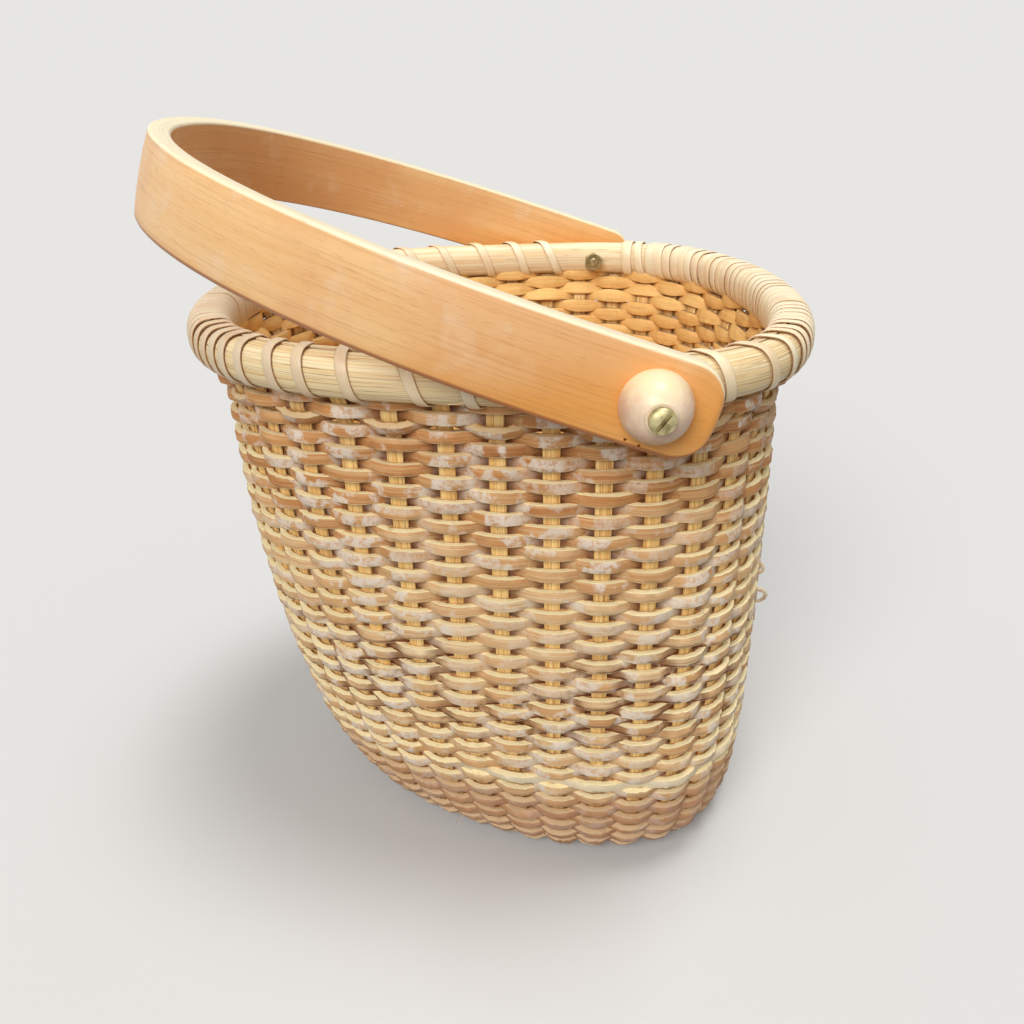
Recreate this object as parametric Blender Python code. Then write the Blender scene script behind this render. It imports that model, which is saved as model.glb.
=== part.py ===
"""A small egg-plan basket woven up over flat staves, with a bent wooden swing handle.

The basket stands on a grooved wooden base plate. Staves rise from the groove and end
between two half-round rim hoops, which a narrow cane lashes together. The handle turns
on two brass screws, each with a domed knob outside and a hex nut inside the rim.
Units are metres, +Z is up, +X is the blunt end, and the origin is under the base plate.
"""

import math

import bmesh
import bpy
import numpy as np
from mathutils import Matrix, Vector

# Fits
gap = 0.0003
running_clearance = 0.0003
cut_overrun = 0.004

# Base plate
base_half_length = 0.0536
base_half_width = 0.0484
base_taper_share = 0.24
base_thickness = 0.006
base_edge_round = 0.0009
base_groove_depth = 0.0055
base_stations = 48

# Rim, measured to the seam between the two hoops
rim_half_length = 0.0796
rim_half_width = 0.0764
rim_taper_share = 0.162
rim_fullness_share = 0.348
rim_shift = -0.01285
rim_height = 0.155
hoop_depth = 0.0105
outer_hoop_thickness = 0.0050
inner_hoop_thickness = 0.0045
hoop_stations = 60
hoop_arc_steps = 7
scarf_cut_width = 0.0004
scarf_length = 0.020
outer_scarf_x = -0.0328
inner_scarf_x = -0.0598

# Staves
stave_count = 41
stave_phase_share = 0.34
stave_thickness = 0.0011
stave_top_width = 0.0042
stave_base_width = 0.0034
stave_end_play = 0.0014
stave_top_recess = 0.0012

# Woven wall
weaver_thickness = 0.0010
wall_foot_reach = 0.0024
wall_foot_rise = 0.0012
wall_foot_turn_share = -0.01
wall_inset = 0.0025
wall_flare_share = 0.06
wall_rows = 7
wall_row_crowding = 1.9
wall_side_powers = (1.1, 1.2)
wall_narrow_end_powers = (1.78, 1.68)
wall_blunt_end_powers = (4.7, 3.0)
end_blend_power = 1.5
slope_step_share = 0.002

# Rim lashing
lashing_diameter = 0.0014
lashing_clearance = 0.0004
lashing_slant = 0.0026
lashing_gaps_per_loop = 2
lashing_wrap_points = 18
lashing_travel_points = 6
lashing_foot_angle = math.radians(235)

# Handle
handle_reach = 0.1279
handle_leg_clearance = 0.0013
handle_arch_share = 0.901
handle_width = 0.0212
handle_thickness = 0.0055
handle_edge_round = 0.0011
handle_end_reach = 0.0137
handle_end_flat = 0.0052
handle_rest_angle = math.radians(18.7)
handle_arch_steps = 40
handle_end_steps = 5

# Pivot hardware
pivot_x = 0.02005
screw_diameter = 0.0030
screw_head_diameter = 0.0060
screw_head_height = 0.0021
screw_slot_width = 0.0009
screw_slot_depth = 0.0011
screw_slot_angle = math.radians(52)
screw_end_past_nut = 0.0008
nut_across_flats = 0.0055
nut_thickness = 0.0024
knob_diameter = 0.0159
knob_height = 0.0098
knob_foot_diameter = 0.0134
knob_widest_share = 0.34
knob_round_steps = 5
round_segments = 20
sharp_angle = math.radians(35)

# Heights and places worked out from the sizes above
stave_root_height = base_thickness / 2
stave_tongue = base_groove_depth + wall_foot_reach - stave_end_play
pivot_height = rim_height - hoop_depth / 2
seam_half_gap = stave_thickness / 2 + gap
hoop_bottom = rim_height - hoop_depth
wall_top = hoop_bottom - lashing_clearance - lashing_diameter - gap
wall_outer = stave_thickness / 2 + weaver_thickness
groove_floor = stave_thickness / 2 + gap
wall_inner = groove_floor + weaver_thickness
stave_top = rim_height - stave_top_recess
lashing_reach = seam_half_gap + outer_hoop_thickness + lashing_clearance + lashing_diameter
handle_end_round = (handle_width - handle_end_flat) / 2
knob_flat_diameter = screw_head_diameter + 2 * gap


class Outline:
    """A closed egg-shaped curve in plan, read by the share of its length."""

    samples = 1440

    def __init__(self, half_length, half_width, taper_share, fullness_share, shift):
        self.angles = np.linspace(0, 2 * math.pi, self.samples + 1)
        cosine = np.cos(self.angles)
        swell = 1 + taper_share * cosine + fullness_share * cosine**2
        self.x = shift + half_length * cosine
        self.y = half_width * np.sin(self.angles) * swell
        steps = np.hypot(np.diff(self.x), np.diff(self.y))
        self.lengths = np.concatenate([[0], np.cumsum(steps)])
        self.length = self.lengths[-1]

    def angle(self, share):
        return float(np.interp(share % 1 * self.length, self.lengths, self.angles))

    def point(self, share):
        angle = self.angle(share)
        x = float(np.interp(angle, self.angles, self.x))
        y = float(np.interp(angle, self.angles, self.y))
        return Vector((x, y, 0))

    def along(self, share):
        step = 1 / self.samples
        return (self.point(share + step) - self.point(share - step)).normalized()

    def outward(self, share):
        along = self.along(share)
        return Vector((along.y, -along.x, 0))

    def share_at_x(self, x, side):
        """The share of the length where the curve crosses x, on the +Y or -Y side."""
        half = self.samples // 2
        if side > 0:
            length = np.interp(-x, -self.x[: half + 1], self.lengths[: half + 1])
        else:
            length = np.interp(x, self.x[half:], self.lengths[half:])
        return float(length) / self.length


rim_outline = Outline(
    rim_half_length, rim_half_width, rim_taper_share, rim_fullness_share, rim_shift
)
wall_foot_outline = Outline(
    base_half_length + wall_foot_reach,
    base_half_width + wall_foot_reach,
    base_taper_share,
    0,
    0,
)

# The handle's legs stand clear of the lashing where the pivot axis crosses the rim
rim_half_span = rim_outline.point(rim_outline.share_at_x(pivot_x, 1)).y
leg_inner_face = rim_half_span + lashing_reach + handle_leg_clearance
leg_outer_face = leg_inner_face + handle_thickness
handle_half_width = (leg_inner_face + leg_outer_face) / 2


def clear_scene():
    for old in list(bpy.data.objects):
        bpy.data.objects.remove(old)


def finish(name, colour, roughness, metallic=0.0):
    """A Principled material of one colour."""
    made = bpy.data.materials.new(name)
    made.use_nodes = True
    shader = made.node_tree.nodes["Principled BSDF"]
    shader.inputs["Base Color"].default_value = (*colour, 1.0)
    shader.inputs["Roughness"].default_value = roughness
    shader.inputs["Metallic"].default_value = metallic
    return made


def add_object(name, data, material, location=(0, 0, 0)):
    made = bpy.data.objects.new(name, data)
    made.location = location
    data.materials.append(material)
    bpy.context.collection.objects.link(made)
    return made


def mesh_from(name, bm):
    bmesh.ops.recalc_face_normals(bm, faces=bm.faces)
    mesh = bpy.data.meshes.new(name)
    bm.to_mesh(mesh)
    bm.free()
    mesh.shade_smooth()
    mesh.set_sharp_from_angle(angle=sharp_angle)
    return mesh


def skin(bm, rings, joined):
    """Faces between each ring of vertices and the next; joined closes last to first."""
    pairs = list(zip(rings, rings[1:]))
    if joined:
        pairs.append((rings[-1], rings[0]))
    for low, high in pairs:
        for here in range(len(low)):
            there = (here + 1) % len(low)
            bm.faces.new((low[here], low[there], high[there], high[here]))


def sweep(name, rings, joined):
    """A solid through rings of points, capped at both ends unless it is joined."""
    bm = bmesh.new()
    made = [[bm.verts.new(point) for point in ring] for ring in rings]
    skin(bm, made, joined)
    if not joined:
        bm.faces.new(made[0])
        bm.faces.new(made[-1])
    return mesh_from(name, bm)


def cut(target, cutter_mesh, matrix):
    """Cuts a hidden cutter out of the target with a Boolean modifier."""
    cutter = bpy.data.objects.new(f"{target.name}_cutter", cutter_mesh)
    cutter.matrix_world = matrix
    cutter.hide_render = True
    cutter.display_type = "WIRE"
    bpy.context.collection.objects.link(cutter)
    boolean = target.modifiers.new("cut", "BOOLEAN")
    boolean.operation = "DIFFERENCE"
    boolean.object = cutter


def rod_mesh(name, radius, length, segments):
    bm = bmesh.new()
    bmesh.ops.create_cone(
        bm,
        cap_ends=True,
        segments=segments,
        radius1=radius,
        radius2=radius,
        depth=length,
    )
    return mesh_from(name, bm)


def block_mesh(name, size):
    bm = bmesh.new()
    bmesh.ops.create_cube(bm, size=1)
    bmesh.ops.scale(bm, vec=size, verts=bm.verts)
    return mesh_from(name, bm)


def lathe_mesh(name, profile, segments):
    """Turns a closed profile of (radius, height) points about the Z axis."""
    bm = bmesh.new()
    loop = [bm.verts.new((radius, 0, height)) for radius, height in profile]
    for here, there in zip(loop, loop[1:] + loop[:1]):
        bm.edges.new((here, there))
    bmesh.ops.spin(
        bm,
        geom=bm.verts[:] + bm.edges[:],
        axis=(0, 0, 1),
        cent=(0, 0, 0),
        angle=2 * math.pi,
        steps=segments,
        use_merge=True,
    )
    on_axis = [vert for vert in bm.verts if vert.co.xy.length < gap / 2]
    bmesh.ops.remove_doubles(bm, verts=on_axis, dist=gap / 2)
    bmesh.ops.dissolve_degenerate(bm, edges=bm.edges, dist=gap / 10)
    return mesh_from(name, bm)


def nut_seat(side):
    """How far from the middle plane a nut's face stands, clear of the inner hoop."""
    share = rim_outline.share_at_x(pivot_x, side)
    spread = nut_across_flats / rim_outline.length
    reach = seam_half_gap + inner_hoop_thickness
    faces = []
    for place in (share - spread, share, share + spread):
        face = rim_outline.point(place) - rim_outline.outward(place) * reach
        faces.append(abs(face.y))
    return min(faces) - gap


def outward_frame(side, y):
    """A matrix whose +Z points out of the basket along the pivot axis, at y."""
    turn = Matrix.Rotation(side * math.radians(-90), 4, "X")
    return Matrix.Translation((pivot_x, y, pivot_height)) @ turn


def egg_ring(inset, height):
    outline = Outline(
        base_half_length - inset, base_half_width - inset, base_taper_share, 0, 0
    )
    shares = [station / base_stations for station in range(base_stations)]
    return [outline.point(share) + Vector((0, 0, height)) for share in shares]


def build_base_plate(material):
    """The board under the basket, with a groove round its edge for the stave ends."""
    groove_half = stave_thickness / 2 + gap
    levels = [
        (base_edge_round, 0),
        (0, base_edge_round),
        (0, stave_root_height - groove_half),
        (base_groove_depth, stave_root_height - groove_half),
        (base_groove_depth, stave_root_height + groove_half),
        (0, stave_root_height + groove_half),
        (0, base_thickness - base_edge_round),
        (base_edge_round, base_thickness),
    ]
    rings = [egg_ring(inset, height) for inset, height in levels]
    return add_object("base_plate", sweep("base_plate", rings, False), material)


def wall_bulge(rim_angle, height_share):
    """How far out the wall is at a height: 0 over the base's edge, 1 at the rim."""
    narrow = ((1 - math.cos(rim_angle)) / 2) ** end_blend_power
    blunt = ((1 + math.cos(rim_angle)) / 2) ** end_blend_power
    side = 1 - narrow - blunt
    fall, roundness = (
        narrow * at_narrow + blunt * at_blunt + side * at_side
        for at_narrow, at_blunt, at_side in zip(
            wall_narrow_end_powers, wall_blunt_end_powers, wall_side_powers
        )
    )
    return (1 - (1 - height_share) ** fall) ** (1 / roundness)


def wall_point(share, height_share):
    """The middle of the wall's thickness, which turns out again just under the rim."""
    low = wall_foot_outline.point(share + wall_foot_turn_share)
    drawn_in = wall_inset * min((1 - height_share) / wall_flare_share, 1)
    high = rim_outline.point(share) - rim_outline.outward(share) * drawn_in
    spread = wall_bulge(rim_outline.angle(share), height_share)
    height = stave_root_height + (wall_top - stave_root_height) * height_share
    return low + (high - low) * spread + Vector((0, 0, height))


def wall_frame(share, height_share):
    """The wall's point, its level direction round the basket and its outward normal."""
    step = 1 / Outline.samples
    along = wall_point(share + step, height_share) - wall_point(
        share - step, height_share
    )
    below = max(height_share - slope_step_share, 0)
    above = min(below + 2 * slope_step_share, 1)
    up = wall_point(share, above) - wall_point(share, below)
    along.normalize()
    outward = along.cross(up).normalized()
    return wall_point(share, height_share), along, outward


def stave_share(number):
    return (number + stave_phase_share) / stave_count


def stave_width_at(height_share):
    return stave_base_width + (stave_top_width - stave_base_width) * height_share


def wall_levels():
    """Height shares of the weave's rings, closer together towards the base."""
    low = wall_foot_rise / (wall_top - stave_root_height)
    spread = 1 - wall_flare_share - low
    shares = [(row / wall_rows) ** wall_row_crowding for row in range(wall_rows + 1)]
    return [*(low + spread * share for share in shares), 1]


def build_woven_wall(material):
    """The weave's body from base to rim, with an open channel for each stave."""
    bm = bmesh.new()
    outer_rings = []
    inner_rings = []
    for level in wall_levels():
        outer_ring = []
        inner_ring = []
        half_channel = stave_width_at(level) / 2 + gap
        for number in range(stave_count):
            middle, along, outward = wall_frame(stave_share(number), level)
            before = middle - along * half_channel
            after = middle + along * half_channel
            floor = -outward * groove_floor
            outer_ring += [
                bm.verts.new(before + outward * wall_outer),
                bm.verts.new(before + floor),
                bm.verts.new(after + floor),
                bm.verts.new(after + outward * wall_outer),
            ]
            inner_ring += [
                bm.verts.new(before - outward * wall_inner),
                bm.verts.new(after - outward * wall_inner),
            ]
        outer_rings.append(outer_ring)
        inner_rings.append(inner_ring)
    skin(bm, outer_rings, False)
    skin(bm, inner_rings, False)
    for outer_ring, inner_ring in (
        (outer_rings[0], inner_rings[0]),
        (outer_rings[-1], inner_rings[-1]),
    ):
        for number in range(stave_count):
            following = (number + 1) % stave_count
            _, floor_before, floor_after, lip_after = outer_ring[4 * number :][:4]
            lip_next, floor_next = outer_ring[4 * following :][:2]
            inner_before, inner_after = inner_ring[2 * number :][:2]
            inner_next = inner_ring[2 * following]
            bm.faces.new((floor_before, floor_after, inner_after, inner_before))
            bm.faces.new((floor_after, lip_after, lip_next, floor_next))
            bm.faces.new((floor_after, floor_next, inner_next, inner_after))
    return add_object("woven_wall", mesh_from("woven_wall", bm), material)


def stave_top_at(share):
    """A stave that a pivot screw would meet is trimmed below the screw."""
    reach = stave_top_width / 2 + screw_diameter / 2 + gap
    for side in (1, -1):
        apart = abs(share - rim_outline.share_at_x(pivot_x, side)) * rim_outline.length
        if apart < reach:
            return pivot_height - screw_diameter / 2 - gap
    return stave_top


def build_stave(number, material):
    """One flat upright from the base's groove to between the rim hoops."""
    share = stave_share(number)
    stations = []
    foot, along, outward = wall_frame(share, 0)
    inward = outward.cross(along)
    inward.z = 0
    inward = inward.normalized() * -1
    if inward.dot(foot) > 0:
        inward.negate()
    up_axis = Vector((0, 0, -1))
    across = up_axis.cross(-inward).normalized()
    if across.dot(along) < 0:
        across.negate()
    stations.append((foot + inward * stave_tongue, across, up_axis, stave_base_width))
    for level in (0, *wall_levels()):
        middle, along, outward = wall_frame(share, level)
        stations.append((middle, along, outward, stave_width_at(level)))
    head = rim_outline.point(share) + Vector((0, 0, stave_top_at(share)))
    stations.append(
        (head, rim_outline.along(share), rim_outline.outward(share), stave_top_width)
    )
    rings = []
    for middle, across, outward, width in stations:
        side = across * width / 2
        face = outward * stave_thickness / 2
        rings.append(
            [
                middle - side - face,
                middle + side - face,
                middle + side + face,
                middle - side + face,
            ]
        )
    name = f"stave_{number + 1:02d}"
    return add_object(name, sweep(name, rings, False), material)


def hoop_mesh(name, side, thickness):
    """A half-round hoop, flat against the staves, outside (1) or inside (-1) them."""
    middle_height = rim_height - hoop_depth / 2
    section = []
    for step in range(hoop_arc_steps + 1):
        angle = math.radians(-90) + math.radians(180) * step / hoop_arc_steps
        out = seam_half_gap + thickness * math.cos(angle)
        section.append((side * out, middle_height + hoop_depth / 2 * math.sin(angle)))
    rings = []
    for station in range(hoop_stations):
        share = station / hoop_stations
        centre = rim_outline.point(share)
        outward = rim_outline.outward(share)
        rings.append(
            [centre + outward * out + Vector((0, 0, height)) for out, height in section]
        )
    return sweep(name, rings, True)


def cut_scarf(hoop, share, side, thickness):
    """The slanted joint where the ends of a bent hoop meet."""
    middle = rim_outline.point(share) + rim_outline.outward(share) * side * (
        seam_half_gap + thickness / 2
    )
    along = rim_outline.along(share)
    slant = math.atan2(thickness, scarf_length)
    heading = math.atan2(along.y, along.x) + side * slant
    size = (2 * scarf_length, scarf_cut_width, hoop_depth + cut_overrun)
    place = Matrix.Translation(middle + Vector((0, 0, rim_height - hoop_depth / 2)))
    turn = Matrix.Rotation(heading, 4, "Z")
    cut(hoop, block_mesh(f"{hoop.name}_scarf", size), place @ turn)


def build_hoop(name, side, thickness, scarf_x, material):
    hoop = add_object(name, hoop_mesh(name, side, thickness), material)
    hole = screw_diameter / 2 + gap
    bore = rod_mesh(
        f"{name}_bore", hole, 2 * (leg_outer_face + cut_overrun), round_segments
    )
    cut(hoop, bore, outward_frame(1, 0))
    cut_scarf(hoop, rim_outline.share_at_x(scarf_x, -1), side, thickness)
    return hoop


def lashing_place(share, angle):
    """A point on the lashing's middle line, at an angle round the two hoops' section."""
    cosine = math.cos(angle)
    sine = math.sin(angle)
    thickness = outer_hoop_thickness if cosine > 0 else inner_hoop_thickness
    half_height = hoop_depth / 2
    away = Vector((cosine / thickness, sine / half_height)).normalized()
    away *= lashing_clearance + lashing_diameter / 2
    out = math.copysign(seam_half_gap, cosine) + thickness * cosine + away.x
    up = rim_height - half_height + half_height * sine + away.y
    return (
        rim_outline.point(share) + rim_outline.outward(share) * out + Vector((0, 0, up))
    )


def lashed_gaps():
    """Every second gap between staves, stepping past the two that hold the screws."""
    far_gap, near_gap = (
        math.floor(
            rim_outline.share_at_x(pivot_x, side) * stave_count - stave_phase_share
        )
        for side in (1, -1)
    )
    runs = (range(far_gap, near_gap), range(near_gap, far_gap + stave_count))
    return [number for run in runs for number in run[1::lashing_gaps_per_loop]]


def lashing_route():
    """The lashing's points: each loop goes up the inner hoop, over both and down
    outside, comes back under them between two staves, and runs on along the inside
    to the next gap that it uses."""
    slant = lashing_slant / rim_outline.length
    route = []
    starts = [stave_share(number + 1 / 2) - slant / 2 for number in lashed_gaps()]
    for loop, share in enumerate(starts):
        for number in range(lashing_wrap_points + 1):
            done = number / lashing_wrap_points
            angle = lashing_foot_angle - 2 * math.pi * done
            route.append(lashing_place(share + slant * done, angle))
        for following in starts[loop + 1 : loop + 2]:
            left = share + slant
            for number in range(1, lashing_travel_points):
                done = number / lashing_travel_points
                place = left + (following - left) * done
                route.append(lashing_place(place, lashing_foot_angle))
    return route


def report_least_gap(route, diameter):
    """Prints the least clear distance between parts of a tube that aren't neighbours."""
    fine = []
    for here, there in zip(route, route[1:]):
        fine += [here.lerp(there, step / 4) for step in range(4)]
    points = np.array([tuple(point) for point in fine])
    steps = np.linalg.norm(np.diff(points, axis=0), axis=1)
    lengths = np.concatenate([[0], np.cumsum(steps)])
    least = math.inf
    for index, point in enumerate(points):
        far = np.abs(lengths - lengths[index]) > 3 * diameter
        apart = np.linalg.norm(points[far] - point, axis=1).min() - diameter
        least = min(least, apart)
    print(f"rim_lashing least gap to itself: {least * 1000:.2f} mm")


def build_lashing(material):
    """One unbroken cane wound round both hoops."""
    route = lashing_route()
    report_least_gap(route, lashing_diameter)
    curve = bpy.data.curves.new("rim_lashing", "CURVE")
    curve.dimensions = "3D"
    curve.bevel_depth = lashing_diameter / 2
    curve.bevel_resolution = 1
    curve.use_fill_caps = True
    spline = curve.splines.new("POLY")
    spline.points.add(len(route) - 1)
    for held, point in zip(spline.points, route):
        held.co = (*point, 1)
    return add_object("rim_lashing", curve, material)


def handle_stations():
    """(along, across, half width) down one leg's end, over the arch and down the other.

    Along runs from the pivot axis towards the arch, across from leg to leg.
    """
    leg_end = []
    for step in range(handle_end_steps + 1):
        inset = handle_end_round * (1 - math.cos(math.pi / 2 * step / handle_end_steps))
        rise = math.sqrt(handle_end_round**2 - (handle_end_round - inset) ** 2)
        half = handle_width / 2 - handle_end_round + rise
        leg_end.append((inset - handle_end_reach, -handle_half_width, half))
    arch = []
    for step in range(handle_arch_steps + 1):
        angle = math.pi * step / handle_arch_steps
        along = handle_reach * max(math.sin(angle), 0) ** handle_arch_share
        cosine = math.cos(angle)
        across = math.copysign(abs(cosine) ** handle_arch_share, -cosine)
        arch.append((along, handle_half_width * across, handle_width / 2))
    far_end = [(along, -across, half) for along, across, half in reversed(leg_end)]
    return leg_end + arch + far_end


def build_handle(material):
    """The bent strip, made level in its own frame and lifted about the pivot axis."""
    stations = handle_stations()
    rings = []
    for index, (along, across, half) in enumerate(stations):
        before = stations[max(index - 1, 0)]
        after = stations[min(index + 1, len(stations) - 1)]
        heading = Vector((after[0] - before[0], after[1] - before[1], 0)).normalized()
        out = Vector((-heading.y, heading.x, 0))
        centre = Vector((along, across, 0))
        thick = handle_thickness / 2
        low = half - handle_edge_round
        slim = thick - handle_edge_round
        corners = [
            (thick, low),
            (slim, half),
            (-slim, half),
            (-thick, low),
            (-thick, -low),
            (-slim, -half),
            (slim, -half),
            (thick, -low),
        ]
        ring = [centre + out * depth + Vector((0, 0, up)) for depth, up in corners]
        rings.append([Vector((-point.x, point.y, point.z)) for point in ring])
    mesh = sweep("handle", rings, False)
    handle = add_object("handle", mesh, material, (pivot_x, 0, pivot_height))
    handle.rotation_euler = (0, handle_rest_angle, 0)
    hole = screw_diameter / 2 + running_clearance
    bore = rod_mesh(
        "handle_bore", hole, 2 * (leg_outer_face + cut_overrun), round_segments
    )
    cut(handle, bore, outward_frame(1, 0))
    return handle


def build_knob(name, side, material):
    """A domed knob with a bore, standing on the outside of a handle leg."""
    bore = screw_diameter / 2 + gap
    widest = knob_height * knob_widest_share
    profile = [(bore, 0), (knob_foot_diameter / 2, 0)]
    for step in range(1, knob_round_steps + 1):
        turn = math.pi / 2 * step / knob_round_steps
        spare = (knob_diameter - knob_foot_diameter) / 2
        radius = knob_foot_diameter / 2 + spare * math.sin(turn)
        profile.append((radius, widest * (1 - math.cos(turn))))
    rise = knob_height - widest
    last = math.acos(knob_flat_diameter / knob_diameter)
    for step in range(1, knob_round_steps + 1):
        turn = last * step / knob_round_steps
        height = widest + rise * math.sin(turn) / math.sin(last)
        profile.append((knob_diameter / 2 * math.cos(turn), height))
    profile.append((bore, knob_height))
    knob = add_object(name, lathe_mesh(name, profile, round_segments), material)
    knob.matrix_world = outward_frame(side, side * (leg_outer_face + gap))
    return knob


def build_screw(name, side, material):
    """A round-head screw from outside the knob to past the nut."""
    head_base = leg_outer_face + 2 * gap + knob_height
    tip = nut_seat(side) - nut_thickness - screw_end_past_nut
    shank = screw_diameter / 2
    head = screw_head_diameter / 2
    profile = [(0, tip - head_base), (shank, tip - head_base), (shank, 0), (head, 0)]
    for step in range(1, knob_round_steps):
        turn = math.pi / 2 * step / knob_round_steps
        profile.append((head * math.cos(turn), screw_head_height * math.sin(turn)))
    profile.append((0, screw_head_height))
    screw = add_object(name, lathe_mesh(name, profile, round_segments), material)
    frame = outward_frame(side, side * head_base)
    screw.matrix_world = frame
    slot = (screw_head_diameter + cut_overrun, screw_slot_width, screw_head_height)
    rise = screw_head_height * 3 / 2 - screw_slot_depth
    turn = Matrix.Rotation(screw_slot_angle, 4, "Z")
    place = frame @ Matrix.Translation((0, 0, rise)) @ turn
    cut(screw, block_mesh(f"{name}_slot", slot), place)
    return screw


def build_nut(name, side, material):
    """A hex nut against the inner hoop, with two of its flats upright."""
    corner = nut_across_flats / math.sqrt(3)
    nut = add_object(name, rod_mesh(name, corner, nut_thickness, 6), material)
    frame = outward_frame(side, side * (nut_seat(side) - nut_thickness / 2))
    nut.matrix_world = frame
    hole = screw_diameter / 2 + gap
    thread = rod_mesh(f"{name}_hole", hole, nut_thickness + cut_overrun, round_segments)
    cut(nut, thread, frame)
    return nut


def main():
    clear_scene()
    cane = finish("weaver_cane", (0.48, 0.29, 0.13), 0.6)
    stave_wood = finish("stave_reed", (0.62, 0.38, 0.14), 0.55)
    reed = finish("rim_reed", (0.66, 0.49, 0.25), 0.5)
    binding = finish("lashing_cane", (0.70, 0.56, 0.38), 0.45)
    maple = finish("handle_wood", (0.62, 0.34, 0.13), 0.4)
    board = finish("base_wood", (0.55, 0.34, 0.17), 0.5)
    ivory = finish("knob_ivory", (0.80, 0.66, 0.52), 0.2)
    brass = finish("screw_brass", (0.52, 0.46, 0.22), 0.35, 1.0)
    build_base_plate(board)
    build_woven_wall(cane)
    for number in range(stave_count):
        build_stave(number, stave_wood)
    build_hoop("outer_rim", 1, outer_hoop_thickness, outer_scarf_x, reed)
    build_hoop("inner_rim", -1, inner_hoop_thickness, inner_scarf_x, reed)
    build_lashing(binding)
    build_handle(maple)
    for place, side in (("near", -1), ("far", 1)):
        build_knob(f"knob_{place}", side, ivory)
        build_screw(f"screw_{place}", side, brass)
        build_nut(f"nut_{place}", side, brass)


main()
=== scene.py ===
"""Looks for a small woven basket with a swing handle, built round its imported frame."""

from __future__ import annotations

import logging
import math
from dataclasses import dataclass, field
from enum import Enum
from functools import cached_property
from typing import TypeAlias

import bmesh
import bpy
import numpy as np
from bpy.types import ID, Material, Mesh, NodeSocket, Object
from mathutils import Matrix, Vector
from numpy import ndarray as Array


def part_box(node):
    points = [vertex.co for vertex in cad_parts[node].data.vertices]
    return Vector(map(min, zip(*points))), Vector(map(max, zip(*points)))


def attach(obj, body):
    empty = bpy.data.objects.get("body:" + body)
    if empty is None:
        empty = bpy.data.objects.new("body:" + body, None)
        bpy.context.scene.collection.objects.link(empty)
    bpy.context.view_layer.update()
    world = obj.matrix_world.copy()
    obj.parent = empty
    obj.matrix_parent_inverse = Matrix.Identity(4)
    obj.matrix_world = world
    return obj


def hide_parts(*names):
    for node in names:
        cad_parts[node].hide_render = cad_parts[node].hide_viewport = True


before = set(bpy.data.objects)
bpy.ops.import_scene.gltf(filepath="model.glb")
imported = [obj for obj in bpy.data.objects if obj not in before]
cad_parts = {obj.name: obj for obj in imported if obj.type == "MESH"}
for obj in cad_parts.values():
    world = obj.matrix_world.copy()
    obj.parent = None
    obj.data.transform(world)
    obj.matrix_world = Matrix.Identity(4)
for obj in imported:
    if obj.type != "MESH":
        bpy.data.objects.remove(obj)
log = logging.getLogger("basket")

Colour: TypeAlias = tuple[float, float, float]
Spot: TypeAlias = tuple[float, float, float]
Shape: TypeAlias = tuple[tuple[float, float], ...]
Term: TypeAlias = "Value | float"

CREASE = math.radians(32)
WELD = 1e-6


class Body(Enum):
    """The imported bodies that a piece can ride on."""

    BASKET = "basket"
    HANDLE = "handle"


class Slot(Enum):
    """The record's material slots."""

    WEAVER = "weaver_cane"
    STAVE = "stave_reed"
    RIM = "rim_reed"
    LASHING = "lashing_cane"
    HANDLE = "handle_wood"
    BASE = "base_wood"
    KNOB = "knob_ivory"
    BRASS = "screw_brass"


class Side(Enum):
    """The far and near ends of the pivot axis, as the sign of y."""

    FAR = 1
    NEAR = -1


def paint(*parts: int) -> Colour:
    """A display colour from 0 to 255 as the linear colour that a shader takes."""
    shares = [part / 255 for part in parts]
    return tuple(
        share / 12.92 if share <= 0.04045 else ((share + 0.055) / 1.055) ** 2.4 for share in shares
    )


# Shading


@dataclass(frozen=True, eq=False)
class Value:
    """A shader socket on which Python's arithmetic makes Math nodes."""

    tree: Tree
    socket: NodeSocket

    def math(self, operation: str, *terms: Term) -> Value:
        """A Math node with this operation and these inputs in order."""
        return self.tree.node("ShaderNodeMath", dict(enumerate(terms)), operation=operation)

    def __add__(self, other: Term) -> Value:
        """Adds."""
        return self.math("ADD", self, other)

    __radd__ = __add__

    def __sub__(self, other: Term) -> Value:
        """Takes away."""
        return self.math("SUBTRACT", self, other)

    def __rsub__(self, other: Term) -> Value:
        """Takes this away from another."""
        return self.math("SUBTRACT", other, self)

    def __mul__(self, other: Term) -> Value:
        """Multiplies."""
        return self.math("MULTIPLY", self, other)

    __rmul__ = __mul__

    def __truediv__(self, other: Term) -> Value:
        """Divides."""
        return self.math("DIVIDE", self, other)

    def __abs__(self) -> Value:
        """The size without its sign."""
        return self.math("ABSOLUTE", self)

    def highest(self, other: Term) -> Value:
        """The larger of the two."""
        return self.math("MAXIMUM", self, other)

    def wave(self) -> Value:
        """The sine."""
        return self.math("SINE", self)

    def rise(self, low: float, high: float) -> Value:
        """Runs smoothly from 0 at low to 1 at high, which may be below low."""
        inputs = {"Value": self, "From Min": low, "From Max": high}
        return self.tree.node("ShaderNodeMapRange", inputs, interpolation_type="SMOOTHSTEP")

    def over(self, limit: float, soft: float) -> Value:
        """1 over a limit and 0 under it, eased by soft, or the reverse where soft is negative."""
        return self.rise(limit - soft, limit + soft)

    def between(self, low: float, high: float, soft: float) -> Value:
        """1 between two limits and 0 outside them, eased by soft."""
        return self.over(low, soft) * self.over(high, -soft)

    def part(self, axis: str) -> Value:
        """One coordinate of a vector."""
        return self.tree.node("ShaderNodeSeparateXYZ", {0: self}, axis)


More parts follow.
